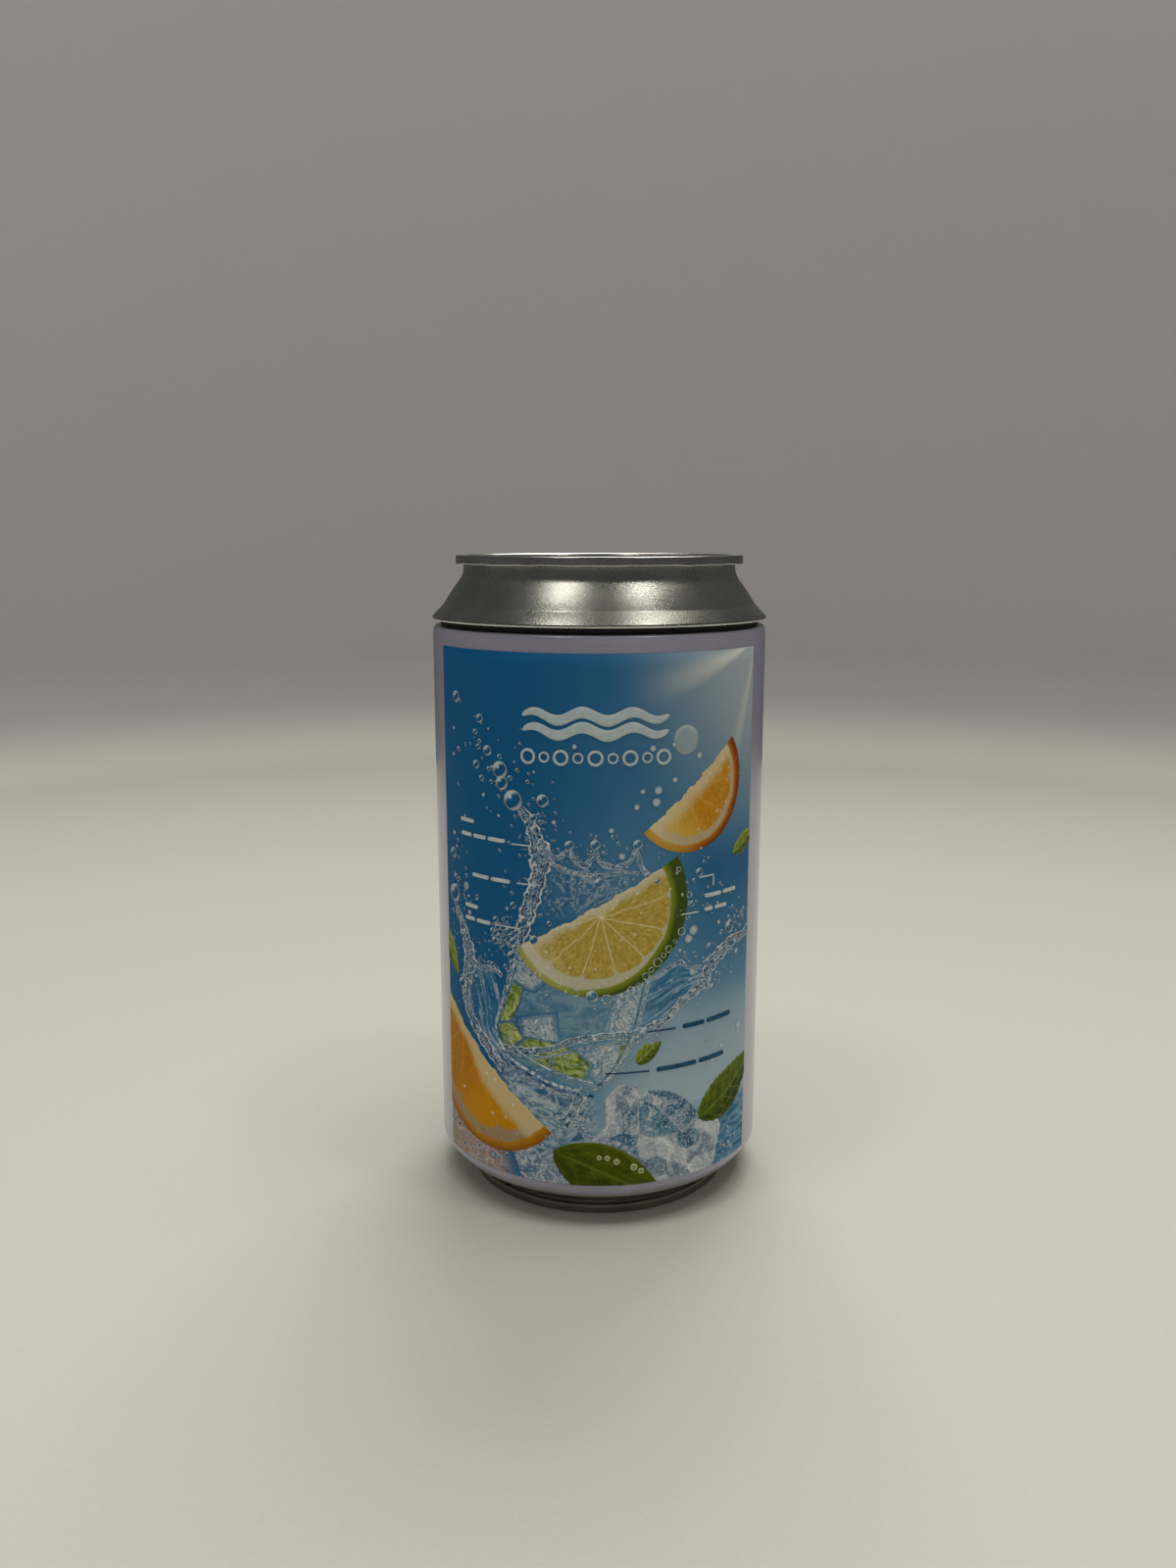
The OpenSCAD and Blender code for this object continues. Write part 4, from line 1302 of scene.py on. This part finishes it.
sprigLook = {"dark": ink(34, 46, 6), "light": ink(92, 102, 26), "lean": 0.25, "veins": 4,
             "veinPower": 0.2, "veinTone": ink(122, 128, 84)}
printed("sprigs", [leafShape((-39, 55), (-32.4, 46.4), 2.3, 0.4), leafShape((29, 71.4), (38, 75), 1.7, 0.3),
                   leafShape((7.2, 33.7), (12.0, 37.6), 1.7, 0.2)], 8, leafInk("sprig print", sprigLook))
print("leaves made")

# single drops of (across, up, radius)
namedDrops = np.array([(-19.1, 88.7, 1.6), (-18.7, 86.3, 1.3), (-16.3, 83.3, 1.9), (-10.3, 83.7, 1.15),
                       (-5.3, 75.7, 0.85), (-0.6, 75.9, 0.9), (7.1, 75.8, 0.85), (-31, 101.2, 1.05),
                       (-23.9, 97.8, 0.8), (-22, 92, 0.95), (-24.3, 92.5, 0.55), (-25, 89.1, 0.8),
                       (-30.4, 91.3, 0.5), (-33.1, 70.8, 1.0), (-32.9, 62.8, 1.75), (28.3, 57.3, 1.3),
                       (0.1, 68.8, 0.9), (-25.1, 95.2, 0.5), (-23.6, 86.7, 0.55), (-21.7, 88.6, 0.45),
                       (19.8, 69.4, 0.8), (18.6, 68.0, 0.4), (10.9, 68.7, 0.5), (-12.1, 80.4, 0.7),
                       (-13.4, 79.2, 0.6), (-12.2, 57.3, 0.85), (-1.2, 47.2, 1.1), (33.4, 59.6, 0.5),
                       (18.2, 63.6, 0.55), (23.6, 46.2, 0.7), (-30.6, 45.2, 1.0), (8.7, 39.6, 1.0),
                       (-16.9, 53.6, 0.9)])
printed("drops", [discShapes(namedDrops[:, :2], namedDrops[:, 2], 28)], 13, bubbleInk())


def scattered(areas, seed):
    # seeded drops: each area is (across, up, spread across, spread up, count, smallest, largest radius)
    rng = np.random.default_rng(seed)
    centres, radii = [], []
    for across, up, wide, tall, count, small, large in areas:
        centres.append(np.stack([rng.normal(across, wide, count), rng.normal(up, tall, count)], 1))
        radii.append(small + (large - small) * rng.random(count) ** 2.5)
    centres, radii = np.concatenate(centres), np.concatenate(radii)
    inside = (np.abs(centres[:, 0] + pictureShift) < labelHalf - 1) & (centres[:, 1] > labelBase + 1)
    inside &= centres[:, 1] < labelTop - 1
    for middle, turn, half, depth in fruitPlaces.values():
        turn = math.radians(turn)
        away = centres - middle
        p = (away[:, 0] * math.cos(turn) + away[:, 1] * math.sin(turn)) / half
        q = (away[:, 0] * math.sin(turn) - away[:, 1] * math.cos(turn)) / depth
        inside &= ~((q > -0.03) & (p * p + q * q < 1.0))
    return centres[inside], radii[inside]


dropAreas = [(-18, 86, 5, 5, 30, 0.16, 0.5), (-11.5, 78, 2.5, 3.5, 40, 0.14, 0.5),
             (0, 74.5, 7, 1.6, 46, 0.14, 0.42), (-12, 66, 2.5, 5, 34, 0.14, 0.5),
             (-31, 62, 2.2, 6, 44, 0.14, 0.5), (-26, 51.5, 3.5, 2.5, 44, 0.14, 0.5),
             (-14.5, 56, 3, 3, 40, 0.14, 0.5), (22, 51, 5, 2.2, 60, 0.14, 0.5),
             (31, 56.5, 3.5, 2.2, 44, 0.14, 0.5), (20, 64, 6, 4, 34, 0.14, 0.42),
             (-24, 94, 4, 4, 14, 0.14, 0.42), (-29, 44, 2, 3, 26, 0.14, 0.5),
             (-8, 33, 5, 2, 34, 0.14, 0.42), (5, 33, 2, 4, 22, 0.14, 0.42),
             (-5, 24, 2.5, 3, 26, 0.14, 0.42), (-28, 14, 4.5, 2.5, 40, 0.14, 0.5),
             (28, 12, 5, 2, 30, 0.14, 0.42), (0, 46, 8, 4, 34, 0.14, 0.42),
             (-18.8, 57.6, 1.5, 1.5, 44, 0.25, 0.8), (23, 47, 3, 2, 22, 0.14, 0.36),
             (8, 39, 5, 1.2, 26, 0.14, 0.42), (0, 70, 7, 3, 90, 0.14, 0.4), (-14, 57, 2, 4, 30, 0.14, 0.4)]
centres, radii = scattered(dropAreas, 3)
printed("sprayDrops", [discShapes(centres, radii, 10)], 12, bubbleInk())

softAreas = [(-20, 84, 9, 8, 8, 0.3, 0.9), (12, 86, 9, 5, 8, 0.5, 1.0), (-28, 66, 4, 8, 10, 0.4, 1.2),
             (22, 58, 7, 5, 12, 0.4, 1.2), (28, 30, 5, 6, 8, 0.5, 1.2), (-14, 16, 8, 3, 12, 0.4, 1.2)]
centres, radii = scattered(softAreas, 8)
namedMist = np.array([(8, 85.5, 0.55), (6.9, 82.7, 0.65), (14.2, 87.3, 0.6), (19.4, 91.4, 0.7),
                      (2.3, 78.5, 0.6)])
printed("softDrops", [discShapes(np.concatenate([centres, namedMist[:, :2]]),
                                 np.concatenate([radii, namedMist[:, 2]]), 20)], 7, mistInk())

leafGlow = np.array([(0.2, 15.1, 0.5), (1.7, 15.0, 0.55), (3.5, 14.2, 0.6), (6.8, 12.9, 0.7),
                     (8.2, 12.0, 0.6)])
printed("leafDrops", [discShapes(leafGlow[:, :2], leafGlow[:, 2], 24)], 14, leafGlowInk())
print("drops made")


def dashes(lines, half):
    # generic dashes where small print would sit; each line is (first, last across, up, gaps): a row of
    # round-ended dashes with a gap at each share of its length
    inset = 0.3         # half of a gap between two dashes
    made = []
    for first, last, up, gaps in lines:
        stops = [0, *gaps, 1]
        for start, stop in zip(stops, stops[1:]):
            left, right = (first + (last - first) * share for share in (start, stop))
            made.append(barShape((left + inset, up), (right - inset, up), half))
    return made


whiteLines = dashes([(-30.2, -25.6, 78.1, []), (-30.0, -17.8, 75.4, [0.3, 0.62]),
                     (-26.8, -16.8, 67.8, [0.5]), (-29.2, -24.9, 61.5, []), (-29.2, -21.6, 59.0, [0.45]),
                     (20.9, 30.2, 64.6, [0.52]), (20.9, 27.4, 62.0, [0.4])], 0.36)
leaderHalf = 0.12       # half the width of the thin lines that run from the dashes to the picture
whiteLeaders = [barShape(start, end, leaderHalf) for start, end in (
    ((-16.6, 75.1), (-12.5, 75.1)), ((-15.6, 67.8), (-11.5, 67.8)), ((-20.2, 59.1), (-14.9, 59.1)),
    ((15.8, 61.8), (19.7, 61.8)), ((19.8, 68.4), (23.3, 68.4)), ((23.3, 68.5), (23.3, 66.3)))]
darkLines = dashes([(16.2, 29.3, 39.8, [0.44]), (10.8, 27.4, 32.1, [0.56])], 0.42)
darkLeaders = [barShape((9.1, 39.8), (15, 39.8), leaderHalf), barShape((1.2, 32.0), (9.7, 32.0), leaderHalf)]
printed("whiteMarks", whiteLines + whiteLeaders, 15,
        plainInk("white print", ink(122, 130, 130), ink(132, 138, 136)), spread=0)
printed("darkMarks", darkLines + darkLeaders, 15,
        plainInk("navy print", ink(12, 40, 60), ink(22, 54, 74)), spread=0)


emblemSize = {"left": -14.2, "width": 27.1, "levels": (99.2, 96.5), "swing": 0.75, "half": 1.0}


def emblemShapes():
    # two rolling waves, one above the other, in place of a name: level + swing * sin(6 pi run), their half
    # width following sin(pi run) ^ 0.3
    size = emblemSize
    run = np.linspace(0, 1, 60)
    made = []
    for level in size["levels"]:
        across = size["left"] + size["width"] * run
        up = level + size["swing"] * np.sin(run * 6 * np.pi)
        half = size["half"] * np.clip(np.sin(np.pi * run), 0, 1) ** 0.3 + 0.04
        low = np.stack([across, up - half], 1)
        high = np.stack([across, up + half], 1)
        q = np.linspace(0, 1, 5)[None, :, None]
        place = low[:, None] * (1 - q) + high[:, None] * q
        p, q = np.meshgrid(run, q.ravel(), indexing="ij")
        made.append(gridShape(place[..., 0], place[..., 1], p, q))
    return made


ringSize = {"count": 9, "left": -13.1, "width": 25, "level": 91.7, "small": 1.0, "large": 1.45,
            "hole": 0.68}


def ringShapes():
    # rings side by side, each a band between two circles, large and small by turns
    size, count = ringSize, ringSize["count"]
    turn, reach = np.meshgrid(np.linspace(0, 2 * np.pi, 33), np.array([size["hole"], 1.0]), indexing="ij")
    x, y = reach * np.cos(turn), reach * np.sin(turn)
    made = []
    for index in range(count):
        radius = size["small"] if index % 2 else size["large"]
        middle = size["left"] + size["width"] * index / (count - 1)
        made.append(gridShape(middle + radius * x, size["level"] + radius * y, x, y))
    return made


printed("waveEmblem", emblemShapes(), 15,
        plainInk("emblem print", ink(122, 130, 131), ink(115, 125, 127)), spread=0)
printed("ringRow", ringShapes(), 15,
        plainInk("ring print", ink(126, 132, 132), ink(116, 124, 126)), spread=0)
print("label print made")
